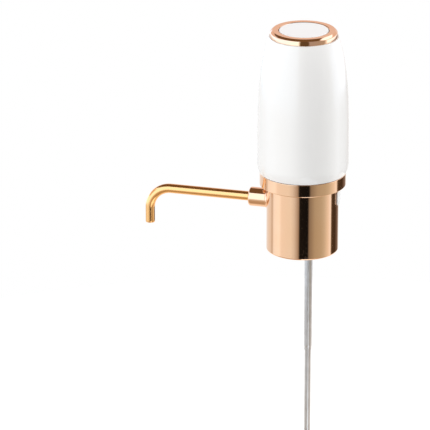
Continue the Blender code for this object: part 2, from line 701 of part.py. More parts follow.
def make_top_ring(rose_gold):
    """The plated ring: flat on top, a chamfer and a steep band down to the housing, a skirt inside the lip."""
    chamfer_radius = RING_FLAT_RADIUS + RING_SHOULDER_WIDTH * RING_CHAMFER_WIDTH_share
    chamfer_bottom = RING_TOP - RING_HEIGHT * RING_CHAMFER_share
    middle_radius = RING_FLAT_RADIUS + RING_SHOULDER_WIDTH * RING_CHAMFER_WIDTH_share / 2
    middle_level = RING_TOP - RING_HEIGHT * RING_CHAMFER_share * RING_CHAMFER_share
    profile = [
        (RING_BORE_RADIUS, RING_TOP),
        (RING_FLAT_RADIUS, RING_TOP),
        (middle_radius, middle_level),
        (chamfer_radius, chamfer_bottom),
        (RING_SHOULDER_RADIUS, RING_BOTTOM),
        (RING_SKIRT_RADIUS, RING_BOTTOM),
        (RING_SKIRT_RADIUS, RING_SKIRT_BOTTOM),
        (RING_BORE_RADIUS, RING_SKIRT_BOTTOM),
    ]
    part(turned("top_ring", profile, SHELL_SIDES), rose_gold)


def make_button(white):
    """The push button: a cap with a skirt, a retaining flange and a stem."""
    edge = BUTTON_EDGE_RADIUS
    under = BUTTON_TOP - BUTTON_TOP_THICKNESS
    skirt_bore = BUTTON_RADIUS - BUTTON_SKIRT_WALL
    flange_radius = BUTTON_RADIUS + BUTTON_FLANGE_WIDTH
    profile = [
        (0, BUTTON_TOP),
        *arc((BUTTON_RADIUS - edge, BUTTON_TOP - edge), edge, 90, 0, 3),
        (BUTTON_RADIUS, BUTTON_FLANGE_TOP),
        (flange_radius, BUTTON_FLANGE_TOP),
        (flange_radius, BUTTON_FLANGE_BOTTOM),
        (skirt_bore, BUTTON_FLANGE_BOTTOM),
        (skirt_bore, under),
        (BUTTON_STEM_RADIUS, under),
        (BUTTON_STEM_RADIUS, STEM_BOTTOM),
        (0, STEM_BOTTOM),
    ]
    cap = part(turned("button_cap", profile, SHELL_SIDES, closed=False), white)
    carry(pivot("button_axis", (0, 0, BUTTON_TOP)), cap)


def guide_tube_radius():
    """The outer radius of the tube that guides the button's stem."""
    return BUTTON_STEM_RADIUS + SLIDE_FIT + GUIDE_TUBE_WALL


def guide_leg_place(side):
    """Where a leg of the guide stands, on the side of +Y or -Y."""
    return (SPINE_LEFT - GUIDE_LEG_SETBACK - SCREW_HEAD_RADIUS, side * GUIDE_LEG_OFFSET)


def make_button_guide(black):
    """A disc across the housing with a tube for the stem and two legs that clamp the board."""
    bore = BUTTON_STEM_RADIUS + SLIDE_FIT
    tube = guide_tube_radius()
    disc_radius = housing_bore(GUIDE_TOP) - SEAT_GAP
    profile = [
        (bore, GUIDE_TOP + GUIDE_TUBE_HEIGHT),
        (tube, GUIDE_TOP + GUIDE_TUBE_HEIGHT),
        (tube, GUIDE_TOP),
        (disc_radius, GUIDE_TOP),
        (disc_radius, GUIDE_BOTTOM),
        (bore, GUIDE_BOTTOM),
    ]
    guide = part(turned("button_guide", profile, SHELL_SIDES), black)
    leg_foot = BOARD_TOP + SEAT_GAP
    screw_end = leg_foot + SCREW_BITE
    for side in (1, -1):
        x, y = guide_leg_place(side)
        join(guide, upright(f"guide_leg_{side}", x, y, leg_foot, GUIDE_TOP - CUT_OVERRUN, GUIDE_LEG_RADIUS))
        hole_top = screw_end + SCREW_CLEARANCE
        cut(guide, upright(f"guide_hole_{side}", x, y, leg_foot - CUT_OVERRUN, hole_top,
                           SCREW_RADIUS + SCREW_CLEARANCE, sides=SCREW_SIDES))


def make_button_spring(steel):
    """The helical return spring round the guide's tube, between the guide and the cap."""
    coil_radius = guide_tube_radius() + SPRING_CLEARANCE + SPRING_WIRE_RADIUS
    low = GUIDE_TOP + SEAT_GAP + SPRING_WIRE_RADIUS
    high = BUTTON_TOP - BUTTON_TOP_THICKNESS - SEAT_GAP - SPRING_WIRE_RADIUS
    count = SPRING_TURNS * SPRING_POINTS_PER_TURN
    points = []
    for step in range(count + 1):
        angle = FULL_TURN * step / SPRING_POINTS_PER_TURN
        height = low + (high - low) * step / count
        points.append((coil_radius * math.cos(angle), coil_radius * math.sin(angle), height))
    pitch = (high - low) / SPRING_TURNS
    print(f"button spring: least gap between turns {(pitch - 2 * SPRING_WIRE_RADIUS) / MM:.2f} mm")
    part(wire("button_spring", points, SPRING_WIRE_RADIUS, COIL_BEVEL_RESOLUTION), steel)


def make_switch(black, white):
    """The tactile switch on the board, and its plunger."""
    half = SWITCH_WIDTH / 2
    bore = SWITCH_PLUNGER_RADIUS + SLIDE_FIT
    pocket = SWITCH_PLUNGER_DEPTH + SWITCH_TRAVEL + SEAT_GAP
    body = part(block("switch_body", (-half, -half, SWITCH_BOTTOM), (half, half, SWITCH_TOP)), black)
    cut(body, upright("switch_bore", 0, 0, SWITCH_TOP - pocket, SWITCH_TOP + CUT_OVERRUN, bore))
    plunger_foot = SWITCH_TOP - SWITCH_PLUNGER_DEPTH
    plunger = part(upright("switch_plunger", 0, 0, plunger_foot, PLUNGER_TOP, SWITCH_PLUNGER_RADIUS), white)
    carry(pivot("switch_axis", (0, 0, SWITCH_TOP)), plunger)


def make_main_board(green, steel):
    """The round control board with its chips, held down by two screws into the guide's legs."""
    board = part(upright("main_board", 0, 0, BOARD_BOTTOM, BOARD_TOP, BOARD_RADIUS, sides=ROUND_SIDES), green)
    sunk = BOARD_THICKNESS / 2
    for number, (column, row) in enumerate(((1, 1), (-1, 1), (1, -1), (-1, -1))):
        x = column * CHIP_OFFSET
        y = row * CHIP_OFFSET / 2
        low = (x - CHIP_WIDTH / 2, y - CHIP_LENGTH / 4, BOARD_TOP - sunk)
        high = (x + CHIP_WIDTH / 2, y + CHIP_LENGTH / 4, BOARD_TOP + CHIP_HEIGHT)
        join(board, block(f"chip_{number}", low, high))
    screw_seat = SPINE_TOP_BOTTOM
    for number, side in enumerate((1, -1), start=1):
        x, y = guide_leg_place(side)
        cut(board, upright(f"board_hole_{number}", x, y, BOARD_BOTTOM - CUT_OVERRUN, BOARD_TOP + CUT_OVERRUN,
                           SCREW_RADIUS + SCREW_CLEARANCE, sides=SCREW_SIDES))
        bite = BOARD_TOP + SEAT_GAP + SCREW_BITE
        part(screw(f"guide_screw_{number}", x, y, screw_seat - SEAT_GAP, bite), steel)


def pump_screw_places():
    """The pump's three screws, midway between its cups."""
    places = []
    for number in range(CUP_COUNT):
        angle = FULL_TURN * (number + 0.5) / CUP_COUNT
        x = PUMP_X + PUMP_SCREW_CIRCLE_RADIUS * math.cos(angle)
        places.append((x, PUMP_SCREW_CIRCLE_RADIUS * math.sin(angle)))
    return places


def cup_angle(number):
    """The direction of a cup from the pump's axis."""
    return FULL_TURN * number / CUP_COUNT


def cut_pump_screw_holes(item, low, high):
    """Clearance holes for the pump's screws."""
    for number, (x, y) in enumerate(pump_screw_places(), start=1):
        cut(item, upright(f"{item.name}_screw_hole_{number}", x, y, low, high,
                          PUMP_SCREW_RADIUS + SCREW_CLEARANCE, sides=SCREW_SIDES))


def make_pump_head(black):
    """The pump's lower cover, with the outlet chamber and the nipple for the hose."""
    chamber_floor = HEAD_TOP - PUMP_CHAMBER_DEPTH
    profile = [
        (NIPPLE_BORE_RADIUS, chamber_floor),
        (PUMP_CHAMBER_RADIUS, chamber_floor),
        (PUMP_CHAMBER_RADIUS, HEAD_TOP),
        (PUMP_RADIUS, HEAD_TOP),
        (PUMP_RADIUS, HEAD_BOTTOM),
        (NIPPLE_RADIUS, HEAD_BOTTOM),
        (NIPPLE_RADIUS, HEAD_BOTTOM - NIPPLE_LENGTH),
        (NIPPLE_BORE_RADIUS, HEAD_BOTTOM - NIPPLE_LENGTH),
    ]
    head = part(turned("pump_head", profile, place=(PUMP_X, 0, 0)), black)
    cut_pump_screw_holes(head, HEAD_BOTTOM - CUT_OVERRUN, HEAD_TOP + CUT_OVERRUN)


def make_valves(white, silicone):
    """The valve plate, with a port to each cup, and the umbrella valve under it."""
    plate = part(upright("valve_plate", PUMP_X, 0, VALVE_BOTTOM, VALVE_TOP, PUMP_RADIUS, sides=ROUND_SIDES), white)
    low = VALVE_BOTTOM - CUT_OVERRUN
    high = VALVE_TOP + CUT_OVERRUN
    cut_pump_screw_holes(plate, low, high)
    stem_hole = VALVE_STEM_RADIUS + SEAT_GAP
    cut(plate, upright("valve_stem_hole", PUMP_X, 0, low, high, stem_hole, sides=SCREW_SIDES))
    outlet_circle = VALVE_UMBRELLA_RADIUS - 2 * VALVE_PORT_RADIUS
    inlet_circle = CUP_CIRCLE_RADIUS + CUP_BASE_RADIUS / 2
    for number in range(CUP_COUNT):
        for kind, circle in (("outlet", outlet_circle), ("inlet", inlet_circle)):
            x = PUMP_X + circle * math.cos(cup_angle(number))
            y = circle * math.sin(cup_angle(number))
            name = f"valve_{kind}_{number}"
            cut(plate, upright(name, x, y, low, high, VALVE_PORT_RADIUS, sides=SCREW_SIDES))
    top = VALVE_BOTTOM - SEAT_GAP
    profile = [
        (0, top + VALVE_STEM_REACH),
        (VALVE_STEM_RADIUS, top + VALVE_STEM_REACH),
        (VALVE_STEM_RADIUS, top),
        (VALVE_UMBRELLA_RADIUS, top),
        (VALVE_UMBRELLA_RADIUS / 2, top - VALVE_UMBRELLA_THICKNESS),
        (0, top - VALVE_UMBRELLA_THICKNESS),
    ]
    part(turned("outlet_valve", profile, SMALL_SIDES, closed=False, place=(PUMP_X, 0, 0)), silicone)


def arm_hole_centre(number, along):
    """A point on the axis of a cup's hole in the tilted wobble plate."""
    angle = cup_angle(number)
    local = Vector((CUP_CIRCLE_RADIUS * math.cos(angle), CUP_CIRCLE_RADIUS * math.sin(angle), along))
    return WOBBLE_TURN @ local


def make_diaphragm(silicone):
    """The rubber diaphragm: a disc with three hollow cups whose posts follow the tilted plate."""
    disc = upright("diaphragm", PUMP_X, 0, DIAPHRAGM_BOTTOM, DIAPHRAGM_TOP, PUMP_RADIUS, sides=ROUND_SIDES)
    rubber = part(disc, silicone)
    cut_pump_screw_holes(rubber, DIAPHRAGM_BOTTOM - CUT_OVERRUN, DIAPHRAGM_TOP + CUT_OVERRUN)
    bead_start = WOBBLE_ARM_START + WOBBLE_ARM_THICKNESS + SEAT_GAP
    bead_end = bead_start + CUP_BEAD_HEIGHT / 2
    for number in range(CUP_COUNT):
        angle = cup_angle(number)
        x = PUMP_X + CUP_CIRCLE_RADIUS * math.cos(angle)
        y = CUP_CIRCLE_RADIUS * math.sin(angle)
        foot = Vector((x, y, DIAPHRAGM_BOTTOM + DIAPHRAGM_THICKNESS / 2))
        top = arm_hole_centre(number, 0)
        join(rubber, rod(f"cup_{number}", foot, top, CUP_BASE_RADIUS, CUP_TOP_RADIUS))
        post = arm_hole_centre(number, -CUP_WALL / 2)
        join(rubber, rod(f"cup_post_{number}", post, arm_hole_centre(number, bead_end), CUP_POST_RADIUS,
                         sides=SCREW_SIDES))
        start = arm_hole_centre(number, bead_start)
        bead_top = arm_hole_centre(number, bead_start + CUP_BEAD_HEIGHT)
        join(rubber, rod(f"cup_bead_{number}", start, bead_top, CUP_BEAD_RADIUS, CUP_POST_RADIUS,
                         sides=SCREW_SIDES))
    for number in range(CUP_COUNT):
        angle = cup_angle(number)
        x = PUMP_X + CUP_CIRCLE_RADIUS * math.cos(angle)
        y = CUP_CIRCLE_RADIUS * math.sin(angle)
        mouth = Vector((x, y, DIAPHRAGM_BOTTOM - CUT_OVERRUN))
        inside = arm_hole_centre(number, -CUP_WALL - CUP_POST_RADIUS)
        cut(rubber, rod(f"cup_hollow_{number}", mouth, inside, CUP_BASE_RADIUS - CUP_WALL,
                        CUP_TOP_RADIUS - CUP_WALL, sides=ROUND_SIDES // 2))


def make_pump_body(black):
    """The pump's case: cup holes in its floor, screw bosses, an air slot and the crank pin's rest."""
    bore = PUMP_RADIUS - PUMP_BODY_WALL
    profile = [
        (0, BODY_FLOOR_TOP),
        (bore, BODY_FLOOR_TOP),
        (bore, BODY_TOP),
        (PUMP_RADIUS, BODY_TOP),
        (PUMP_RADIUS, BODY_BOTTOM),
        (0, BODY_BOTTOM),
    ]
    body = part(turned("pump_body", profile, closed=False, place=(PUMP_X, 0, 0)), black)
    inside = BODY_BOTTOM + PUMP_BODY_FLOOR / 2
    join(body, upright("pivot_post", PUMP_X, 0, inside, PIVOT_LEVEL - SEAT_GAP, PUMP_PIVOT_RADIUS))
    for number, (x, y) in enumerate(pump_screw_places(), start=1):
        join(body, upright(f"pump_boss_{number}", x, y, inside, BODY_TOP - SEAT_GAP, PUMP_BOSS_RADIUS))
    cut_pump_screw_holes(body, BODY_BOTTOM - CUT_OVERRUN, BODY_TOP + CUT_OVERRUN)
    for number in range(CUP_COUNT):
        x = PUMP_X + CUP_CIRCLE_RADIUS * math.cos(cup_angle(number))
        y = CUP_CIRCLE_RADIUS * math.sin(cup_angle(number))
        cut(body, upright(f"cup_hole_{number}", x, y, BODY_BOTTOM - CUT_OVERRUN, BODY_FLOOR_TOP + CUT_OVERRUN,
                          CUP_BASE_RADIUS + CUP_CLEARANCE))
    slot_low = (PUMP_X - INLET_WIDTH / 2, bore - CUT_OVERRUN, BODY_TOP - 2 * INLET_WIDTH)
    slot_high = (PUMP_X + INLET_WIDTH / 2, PUMP_RADIUS + CUT_OVERRUN, BODY_TOP - INLET_WIDTH)
    cut(body, block("air_inlet", slot_low, slot_high))


def make_pump_screws(steel):
    """Three long screws through head, valve plate, diaphragm and body into the motor plate."""
    for number, (x, y) in enumerate(pump_screw_places(), start=1):
        part(screw(f"pump_screw_{number}", x, y, HEAD_BOTTOM - SEAT_GAP, PLATE_TOP - SEAT_GAP,
                   PUMP_SCREW_RADIUS, PUMP_SCREW_HEAD_RADIUS, PUMP_SCREW_HEAD_HEIGHT), steel)


def make_wobble_plate(white, steel):
    """The three-armed plate on its pin, both tilted about the pin's lower end."""
    hub_end = WOBBLE_HUB_START + WOBBLE_HUB_LENGTH
    bore = CRANK_PIN_RADIUS + PRESS_FIT
    profile = [
        (bore, hub_end),
        (WOBBLE_HUB_RADIUS, hub_end),
        (WOBBLE_HUB_RADIUS, WOBBLE_HUB_START),
        (bore, WOBBLE_HUB_START),
    ]
    plate = turned("wobble_plate", profile, SMALL_SIDES, place=PIVOT, turn=(0, TILT, 0))
    plate = part(plate, white)
    middle = WOBBLE_ARM_START + WOBBLE_ARM_THICKNESS / 2
    overlap = (WOBBLE_HUB_RADIUS + bore) / 2
    for number in range(CUP_COUNT):
        low = (overlap, -WOBBLE_ARM_WIDTH / 2, WOBBLE_ARM_START)
        high = (WOBBLE_ARM_REACH, WOBBLE_ARM_WIDTH / 2, WOBBLE_ARM_START + WOBBLE_ARM_THICKNESS)
        arm = block(f"wobble_arm_{number}", low, high, edge=WOBBLE_ARM_WIDTH / 3, axes="Z")
        arm.matrix_world = WOBBLE_TURN @ Matrix.Rotation(cup_angle(number), 4, "Z")
        join(plate, arm)
    for number in range(CUP_COUNT):
        start = arm_hole_centre(number, middle - CUT_OVERRUN - WOBBLE_ARM_THICKNESS)
        end = arm_hole_centre(number, middle + CUT_OVERRUN + WOBBLE_ARM_THICKNESS)
        cut(plate, rod(f"arm_hole_{number}", start, end, CUP_POST_RADIUS + SEAT_GAP))
    pin = part(rod("crank_pin", PIVOT, PIVOT + TILT_AXIS * CRANK_PIN_LENGTH, CRANK_PIN_RADIUS), steel)
    carry(pivot("wobble_axis", PIVOT), plate, pin)


def make_rotor(white, steel, copper):
    """The drive wheel with its slanted hole, the motor's shaft and the wound armature."""
    wheel_low = PIVOT_LEVEL + DRIVE_WHEEL_LIFT
    wheel_high = wheel_low + DRIVE_WHEEL_HEIGHT
    wheel = part(upright("drive_wheel", PUMP_X, 0, wheel_low, wheel_high, DRIVE_WHEEL_RADIUS), white)
    hole_start = PIVOT + TILT_AXIS * (DRIVE_WHEEL_LIFT - CUT_OVERRUN)
    hole_end = PIVOT + TILT_AXIS * (DRIVE_WHEEL_LIFT + DRIVE_PIN_DEPTH)
    cut(wheel, rod("slanted_hole", hole_start, hole_end, CRANK_PIN_RADIUS + SLIDE_FIT))
    shaft_seat = wheel_high - DRIVE_SHAFT_DEPTH
    cut(wheel, upright("shaft_hole", PUMP_X, 0, shaft_seat, wheel_high + CUT_OVERRUN,
                       MOTOR_SHAFT_RADIUS + PRESS_FIT))
    shaft_top = END_CAP_TOP - SEAT_GAP
    shaft = upright("motor_shaft", PUMP_X, 0, shaft_seat + SEAT_GAP, shaft_top, MOTOR_SHAFT_RADIUS)
    shaft = part(shaft, steel)
    armature = make_armature(copper)
    carry(pivot("motor_axis", PIVOT), wheel, shaft, armature)


def armature_outline():
    """The three T-shaped poles of the armature's core, seen along the shaft."""
    neck_angle = math.asin(ARMATURE_NECK_HALF_WIDTH / ARMATURE_NECK_RADIUS)
    neck_top_angle = math.asin(ARMATURE_NECK_HALF_WIDTH / ARMATURE_SHOE_RADIUS)
    half = ARMATURE_SHOE_HALF_ANGLE
    pole = [
        (ARMATURE_NECK_RADIUS, -neck_angle),
        (ARMATURE_SHOE_RADIUS, -neck_top_angle),
        (ARMATURE_SHOE_RADIUS, -half),
        (ARMATURE_RADIUS, -half),
        (ARMATURE_RADIUS, -half / 2),
        (ARMATURE_RADIUS, 0),
        (ARMATURE_RADIUS, half / 2),
        (ARMATURE_RADIUS, half),
        (ARMATURE_SHOE_RADIUS, half),
        (ARMATURE_SHOE_RADIUS, neck_top_angle),
        (ARMATURE_NECK_RADIUS, neck_angle),
    ]
    outline = []
    for number in range(ARMATURE_POLES):
        for radius, angle in pole:
            turn = angle + FULL_TURN * number / ARMATURE_POLES
            outline.append((PUMP_X + radius * math.cos(turn), radius * math.sin(turn)))
    return outline


def make_armature(copper):
    """The core of three poles, a winding on each, and the commutator above."""
    low = MOTOR_BOTTOM + (MOTOR_LENGTH - ARMATURE_LENGTH) / 2
    high = low + ARMATURE_LENGTH
    armature = part(as_mesh(flat("motor_armature", armature_outline(), low, high)), copper)
    inner = (ARMATURE_NECK_RADIUS + MOTOR_SHAFT_RADIUS) / 2
    outer = (ARMATURE_SHOE_RADIUS + ARMATURE_RADIUS) / 2
    for number in range(ARMATURE_POLES):
        coil_low = (inner, -WINDING_WIDTH / 2, low - WINDING_OVERHANG)
        coil_high = (outer, WINDING_WIDTH / 2, high + WINDING_OVERHANG)
        coil = block(f"winding_{number}", coil_low, coil_high, edge=WINDING_OVERHANG / 2, axes="XYZ")
        angle = FULL_TURN * number / ARMATURE_POLES
        coil.matrix_world = Matrix.Translation((PUMP_X, 0, 0)) @ Matrix.Rotation(angle, 4, "Z")
        join(armature, coil)
    commutator_top = high + WINDING_OVERHANG + COMMUTATOR_LENGTH
    join(armature, upright("commutator", PUMP_X, 0, high - CUT_OVERRUN, commutator_top, COMMUTATOR_RADIUS))
    bore = MOTOR_SHAFT_RADIUS + PRESS_FIT
    cut(armature, upright("armature_bore", PUMP_X, 0, low - CUT_OVERRUN - WINDING_OVERHANG,
                          commutator_top + CUT_OVERRUN, bore))
    return armature


def make_motor_case(steel, black, copper, dark):
    """The plate the motor stands on, its drawn can, end cap, bushes and two magnets."""
    boss_hole = MOTOR_BOSS_RADIUS + SEAT_GAP
    ring = [
        (boss_hole, PLATE_TOP),
        (PUMP_RADIUS, PLATE_TOP),
        (PUMP_RADIUS, PLATE_BOTTOM),
        (boss_hole, PLATE_BOTTOM),
    ]
    plate = part(turned("motor_plate", ring, place=(PUMP_X, 0, 0)), black)
    for number, (x, y) in enumerate(pump_screw_places(), start=1):
        hole_top = PLATE_TOP + CUT_OVERRUN
        cut(plate, upright(f"plate_screw_hole_{number}", x, y, PLATE_BOTTOM - CUT_OVERRUN, hole_top,
                           PUMP_SCREW_RADIUS + SCREW_CLEARANCE, sides=SCREW_SIDES))
    bush_seat = BUSH_RADIUS + PRESS_FIT
    can_bore = MOTOR_RADIUS - MOTOR_WALL
    face_top = MOTOR_BOTTOM + MOTOR_WALL
    can = [
        (bush_seat, face_top),
        (can_bore, face_top),
        (can_bore, MOTOR_TOP),
        (MOTOR_RADIUS, MOTOR_TOP),
        (MOTOR_RADIUS, MOTOR_BOTTOM),
        (MOTOR_BOSS_RADIUS, MOTOR_BOTTOM),
        (MOTOR_BOSS_RADIUS, MOTOR_BOTTOM - MOTOR_BOSS_HEIGHT),
        (bush_seat, MOTOR_BOTTOM - MOTOR_BOSS_HEIGHT),
    ]
    part(turned("motor_can", can, place=(PUMP_X, 0, 0)), steel)
    shaft_hole = MOTOR_SHAFT_RADIUS + SLIDE_FIT
    rear_seat = END_CAP_BOTTOM + BUSH_LENGTH
    cap = [
        (shaft_hole, END_CAP_TOP),
        (MOTOR_RADIUS, END_CAP_TOP),
        (MOTOR_RADIUS, END_CAP_BOTTOM),
        (bush_seat, END_CAP_BOTTOM),
        (bush_seat, rear_seat),
        (shaft_hole, rear_seat),
    ]
    end_cap = part(turned("motor_end_cap", cap, place=(PUMP_X, 0, 0)), black)
    for side in (1, -1):
        y = side * TERMINAL_OFFSET
        low = (PUMP_X - TERMINAL_HALF_WIDTH, y - TERMINAL_HALF_THICKNESS, END_CAP_TOP - CUT_OVERRUN)
        high = (PUMP_X + TERMINAL_HALF_WIDTH, y + TERMINAL_HALF_THICKNESS, END_CAP_TOP + TERMINAL_HEIGHT)
        join(end_cap, block(f"terminal_{side}", low, high))
    front_low = face_top - BUSH_LENGTH
    rear_high = rear_seat - SEAT_GAP
    for name, low, high in (("front_bush", front_low, face_top), ("rear_bush", END_CAP_BOTTOM, rear_high)):
        bush = [(shaft_hole, high), (BUSH_RADIUS, high), (BUSH_RADIUS, low), (shaft_hole, low)]
        part(turned(name, bush, SMALL_SIDES, place=(PUMP_X, 0, 0)), copper)
    make_magnets(can_bore, dark)


def make_magnets(can_bore, dark):
    """Two arc magnets glued inside the can, one on each side of the armature."""
    outer = can_bore - SEAT_GAP
    inner = outer - MAGNET_THICKNESS
    half = MOTOR_LENGTH * MAGNET_LENGTH_share / 2
    middle = MOTOR_BOTTOM + MOTOR_LENGTH / 2
    ring = [(inner, middle + half), (outer, middle + half), (outer, middle - half), (inner, middle - half)]
    for number, side in enumerate((1, -1), start=1):
        magnet = part(turned(f"motor_magnet_{number}", ring, place=(PUMP_X, 0, 0)), dark)
        near = side * MAGNET_GAP_HALF_WIDTH
        far = -side * (MOTOR_RADIUS + CUT_OVERRUN)
        low = (PUMP_X - MOTOR_RADIUS - CUT_OVERRUN, min(near, far), middle - half - CUT_OVERRUN)
        high = (PUMP_X + MOTOR_RADIUS + CUT_OVERRUN, max(near, far), middle + half + CUT_OVERRUN)
        cut(magnet, block(f"magnet_cut_{number}", low, high))


def make_base(black):
    """The frame's base plate in the collar, open in the middle for hose and wires."""
    radius = SPIGOT_BORE_RADIUS - SEAT_GAP
    ring = [
        (SHELF_OPENING_RADIUS, BASE_TOP),
        (radius, BASE_TOP),
        (radius, BASE_BOTTOM),
        (SHELF_OPENING_RADIUS, BASE_BOTTOM),
    ]
    base = part(turned("chassis_base", ring), black)
    cut_manifold_screw_holes(base, BASE_BOTTOM - CUT_OVERRUN, BASE_TOP + CUT_OVERRUN)
    rail_start = MANIFOLD_SCREW_CIRCLE_RADIUS + SCREW_RADIUS + SCREW_CLEARANCE + SEAT_GAP
    for across in (1, -1):
        near_x = SPINE_MIDDLE + across * (SPINE_THICKNESS / 2 + SEAT_GAP)
        far_x = near_x + across * SPINE_THICKNESS
        for side in (1, -1):
            ends = (side * rail_start, side * SPINE_HALF_WIDTH)
            low = (min(near_x, far_x), min(ends), BASE_TOP - CUT_OVERRUN)
            high = (max(near_x, far_x), max(ends), BASE_TOP + SPINE_THICKNESS)
            join(base, block(f"base_rail_{across}_{side}", low, high))


def make_spine(black):
    """The upright frame between pump and cell, with its top plate and saddles."""
    top_radius = housing_bore(SPINE_TOP) - SEAT_GAP
    sunk = SPINE_TOP_THICKNESS / 2
    disc = upright("chassis_spine", 0, 0, SPINE_TOP_BOTTOM, SPINE_TOP, top_radius, sides=ROUND_SIDES)
    spine = part(disc, black)
    wall_low = (SPINE_LEFT, -SPINE_HALF_WIDTH, SPINE_BOTTOM)
    wall_high = (SPINE_RIGHT, SPINE_HALF_WIDTH, SPINE_TOP_BOTTOM + sunk)
    join(spine, block("spine_wall", wall_low, wall_high))
    for name, level in saddle_levels().items():
        low = (SPINE_MIDDLE, -SADDLE_HALF_WIDTH, level)
        high = (CELL_X - CELL_RADIUS / 2, SADDLE_HALF_WIDTH, level + SADDLE_THICKNESS)
        join(spine, block(f"cell_saddle_{name}", low, high))
    motor_low = (PUMP_X + MOTOR_RADIUS / 2, -SADDLE_HALF_WIDTH, MOTOR_BOTTOM + SADDLE_THICKNESS)
    motor_high = (SPINE_MIDDLE, SADDLE_HALF_WIDTH, MOTOR_BOTTOM + 2 * SADDLE_THICKNESS)
    join(spine, block("motor_saddle", motor_low, motor_high))
    cut(spine, upright("cell_channel", CELL_X, 0, SPINE_BOTTOM - CUT_OVERRUN, CELL_TOP + CUT_OVERRUN,
                       CELL_RADIUS + SEAT_GAP, sides=ROUND_SIDES))
    cut(spine, upright("motor_channel", PUMP_X, 0, SPINE_BOTTOM - CUT_OVERRUN, END_CAP_TOP + CUT_OVERRUN,
                       PUMP_RADIUS + SEAT_GAP - PRESS_FIT, sides=ROUND_SIDES))
    for number, (x, y) in enumerate(cable_holes(), start=1):
        cut(spine, upright(f"cable_hole_{number}", x, y, SPINE_TOP_BOTTOM - CUT_OVERRUN, SPINE_TOP + CUT_OVERRUN,
                           CABLE_HOLE_RADIUS, sides=SCREW_SIDES))
    for side in (1, -1):
        x, y = guide_leg_place(side)
        cut(spine, upright(f"spine_screw_hole_{side}", x, y, SPINE_TOP_BOTTOM - CUT_OVERRUN,
                           SPINE_TOP + CUT_OVERRUN, SCREW_RADIUS + SCREW_CLEARANCE, sides=SCREW_SIDES))
    for name, level in window_levels().items():
        low = (SPINE_LEFT - CUT_OVERRUN, -SPINE_HALF_WIDTH + SPINE_WINDOW_HALF_WIDTH, level[0])
        high = (SPINE_RIGHT + CUT_OVERRUN, -SPINE_HALF_WIDTH + 3 * SPINE_WINDOW_HALF_WIDTH, level[1])
        cut(spine, block(f"spine_window_{name}", low, high))


def saddle_levels():
    """The heights of the two saddles that the cell lies in."""
    return {"low": CELL_BOTTOM + CELL_LENGTH / 5, "high": CELL_TOP - CELL_LENGTH / 5}


def window_levels():
    """The heights of the spine's two lightening windows."""
    third = (SPINE_TOP_BOTTOM - SPINE_BOTTOM) / 5
    return {
        "low": (SPINE_BOTTOM + third, SPINE_BOTTOM + 2 * third),
        "high": (SPINE_BOTTOM + 3 * third, SPINE_BOTTOM + 4 * third),
    }


def cable_holes():
    """Where wires pass the spine's top plate: motor, motor, cell, cell, charging port."""
    side = CELL_RADIUS + 2 * STRAP_THICKNESS
    return [
        (PUMP_X, TERMINAL_OFFSET),
        (PUMP_X, -TERMINAL_OFFSET),
        (CELL_X, 0),
        (CELL_X - CELL_RADIUS / 3, side),
        (SPINE_RIGHT + 2 * CABLE_HOLE_RADIUS, -SPINE_HALF_WIDTH + 3 * CABLE_HOLE_RADIUS),
    ]


def strap_outline(centre, radius, face, side):
    """A U-shaped strap round a cylinder, open towards the spine, with an ear at each end."""
    outer = radius + STRAP_THICKNESS
    ear = outer + STRAP_EAR
    steps = ROUND_SIDES // 3
    inner_arc = []
    outer_arc = []
    for step in range(steps + 1):
        angle = math.pi / 2 - math.pi * step / steps
        along = math.cos(angle) * side
        inner_arc.append((centre + radius * along, radius * math.sin(angle)))
        outer_arc.append((centre + outer * along, outer * math.sin(angle)))
    ear_face = face + side * STRAP_THICKNESS
    first_ear = [(face, ear), (ear_face, ear), (ear_face, outer)]
    last_ear = [(ear_face, -outer), (ear_face, -ear), (face, -ear)]
    return [*first_ear, *outer_arc, *last_ear, (face, -radius), *reversed(inner_arc), (face, radius)]


def make_straps(black):
    """The straps that hold the cell and the motor against the spine."""
    middle = (CELL_BOTTOM + CELL_TOP) / 2
    cell_face = SPINE_RIGHT + SEAT_GAP
    cell = strap_outline(CELL_X, CELL_RADIUS + SEAT_GAP, cell_face, 1)
    part(flat("battery_clamp", cell, middle - STRAP_HEIGHT / 2, middle + STRAP_HEIGHT / 2), black)
    motor_face = SPINE_LEFT - SEAT_GAP
    motor_middle = (MOTOR_BOTTOM + MOTOR_TOP) / 2
    motor = strap_outline(PUMP_X, MOTOR_RADIUS + SEAT_GAP, motor_face, -1)
    part(flat("motor_clamp", motor, motor_middle - STRAP_HEIGHT / 2, motor_middle + STRAP_HEIGHT / 2), black)


def make_cell(blue):
    """The rechargeable cell, with rounded ends and its raised contact."""
    edge = CELL_EDGE_RADIUS
    profile = [
        (0, CELL_TOP + CELL_NUB_HEIGHT),
        (CELL_NUB_RADIUS, CELL_TOP + CELL_NUB_HEIGHT),
        (CELL_NUB_RADIUS, CELL_TOP),
        *arc((CELL_RADIUS - edge, CELL_TOP - edge), edge, 90, 0, 2),
        *arc((CELL_RADIUS - edge, CELL_BOTTOM + edge), edge, 0, -90, 2),
        (0, CELL_BOTTOM),
    ]
    part(turned("battery_cell", profile, closed=False, place=(CELL_X, 0, 0)), blue)


def manifold_screw_places():
    """The three screws that clamp manifold, sleeve and collar to the base."""
    circle = MANIFOLD_SCREW_CIRCLE_RADIUS
    return [(circle * math.cos(angle), circle * math.sin(angle)) for angle in MANIFOLD_SCREW_ANGLES]


def cut_manifold_screw_holes(item, low, high):
    """Clearance holes for the manifold's screws."""
    for number, (x, y) in enumerate(manifold_screw_places(), start=1):
        cut(item, upright(f"{item.name}_clamp_hole_{number}", x, y, low, high,
                          SCREW_RADIUS + SCREW_CLEARANCE, sides=SCREW_SIDES))


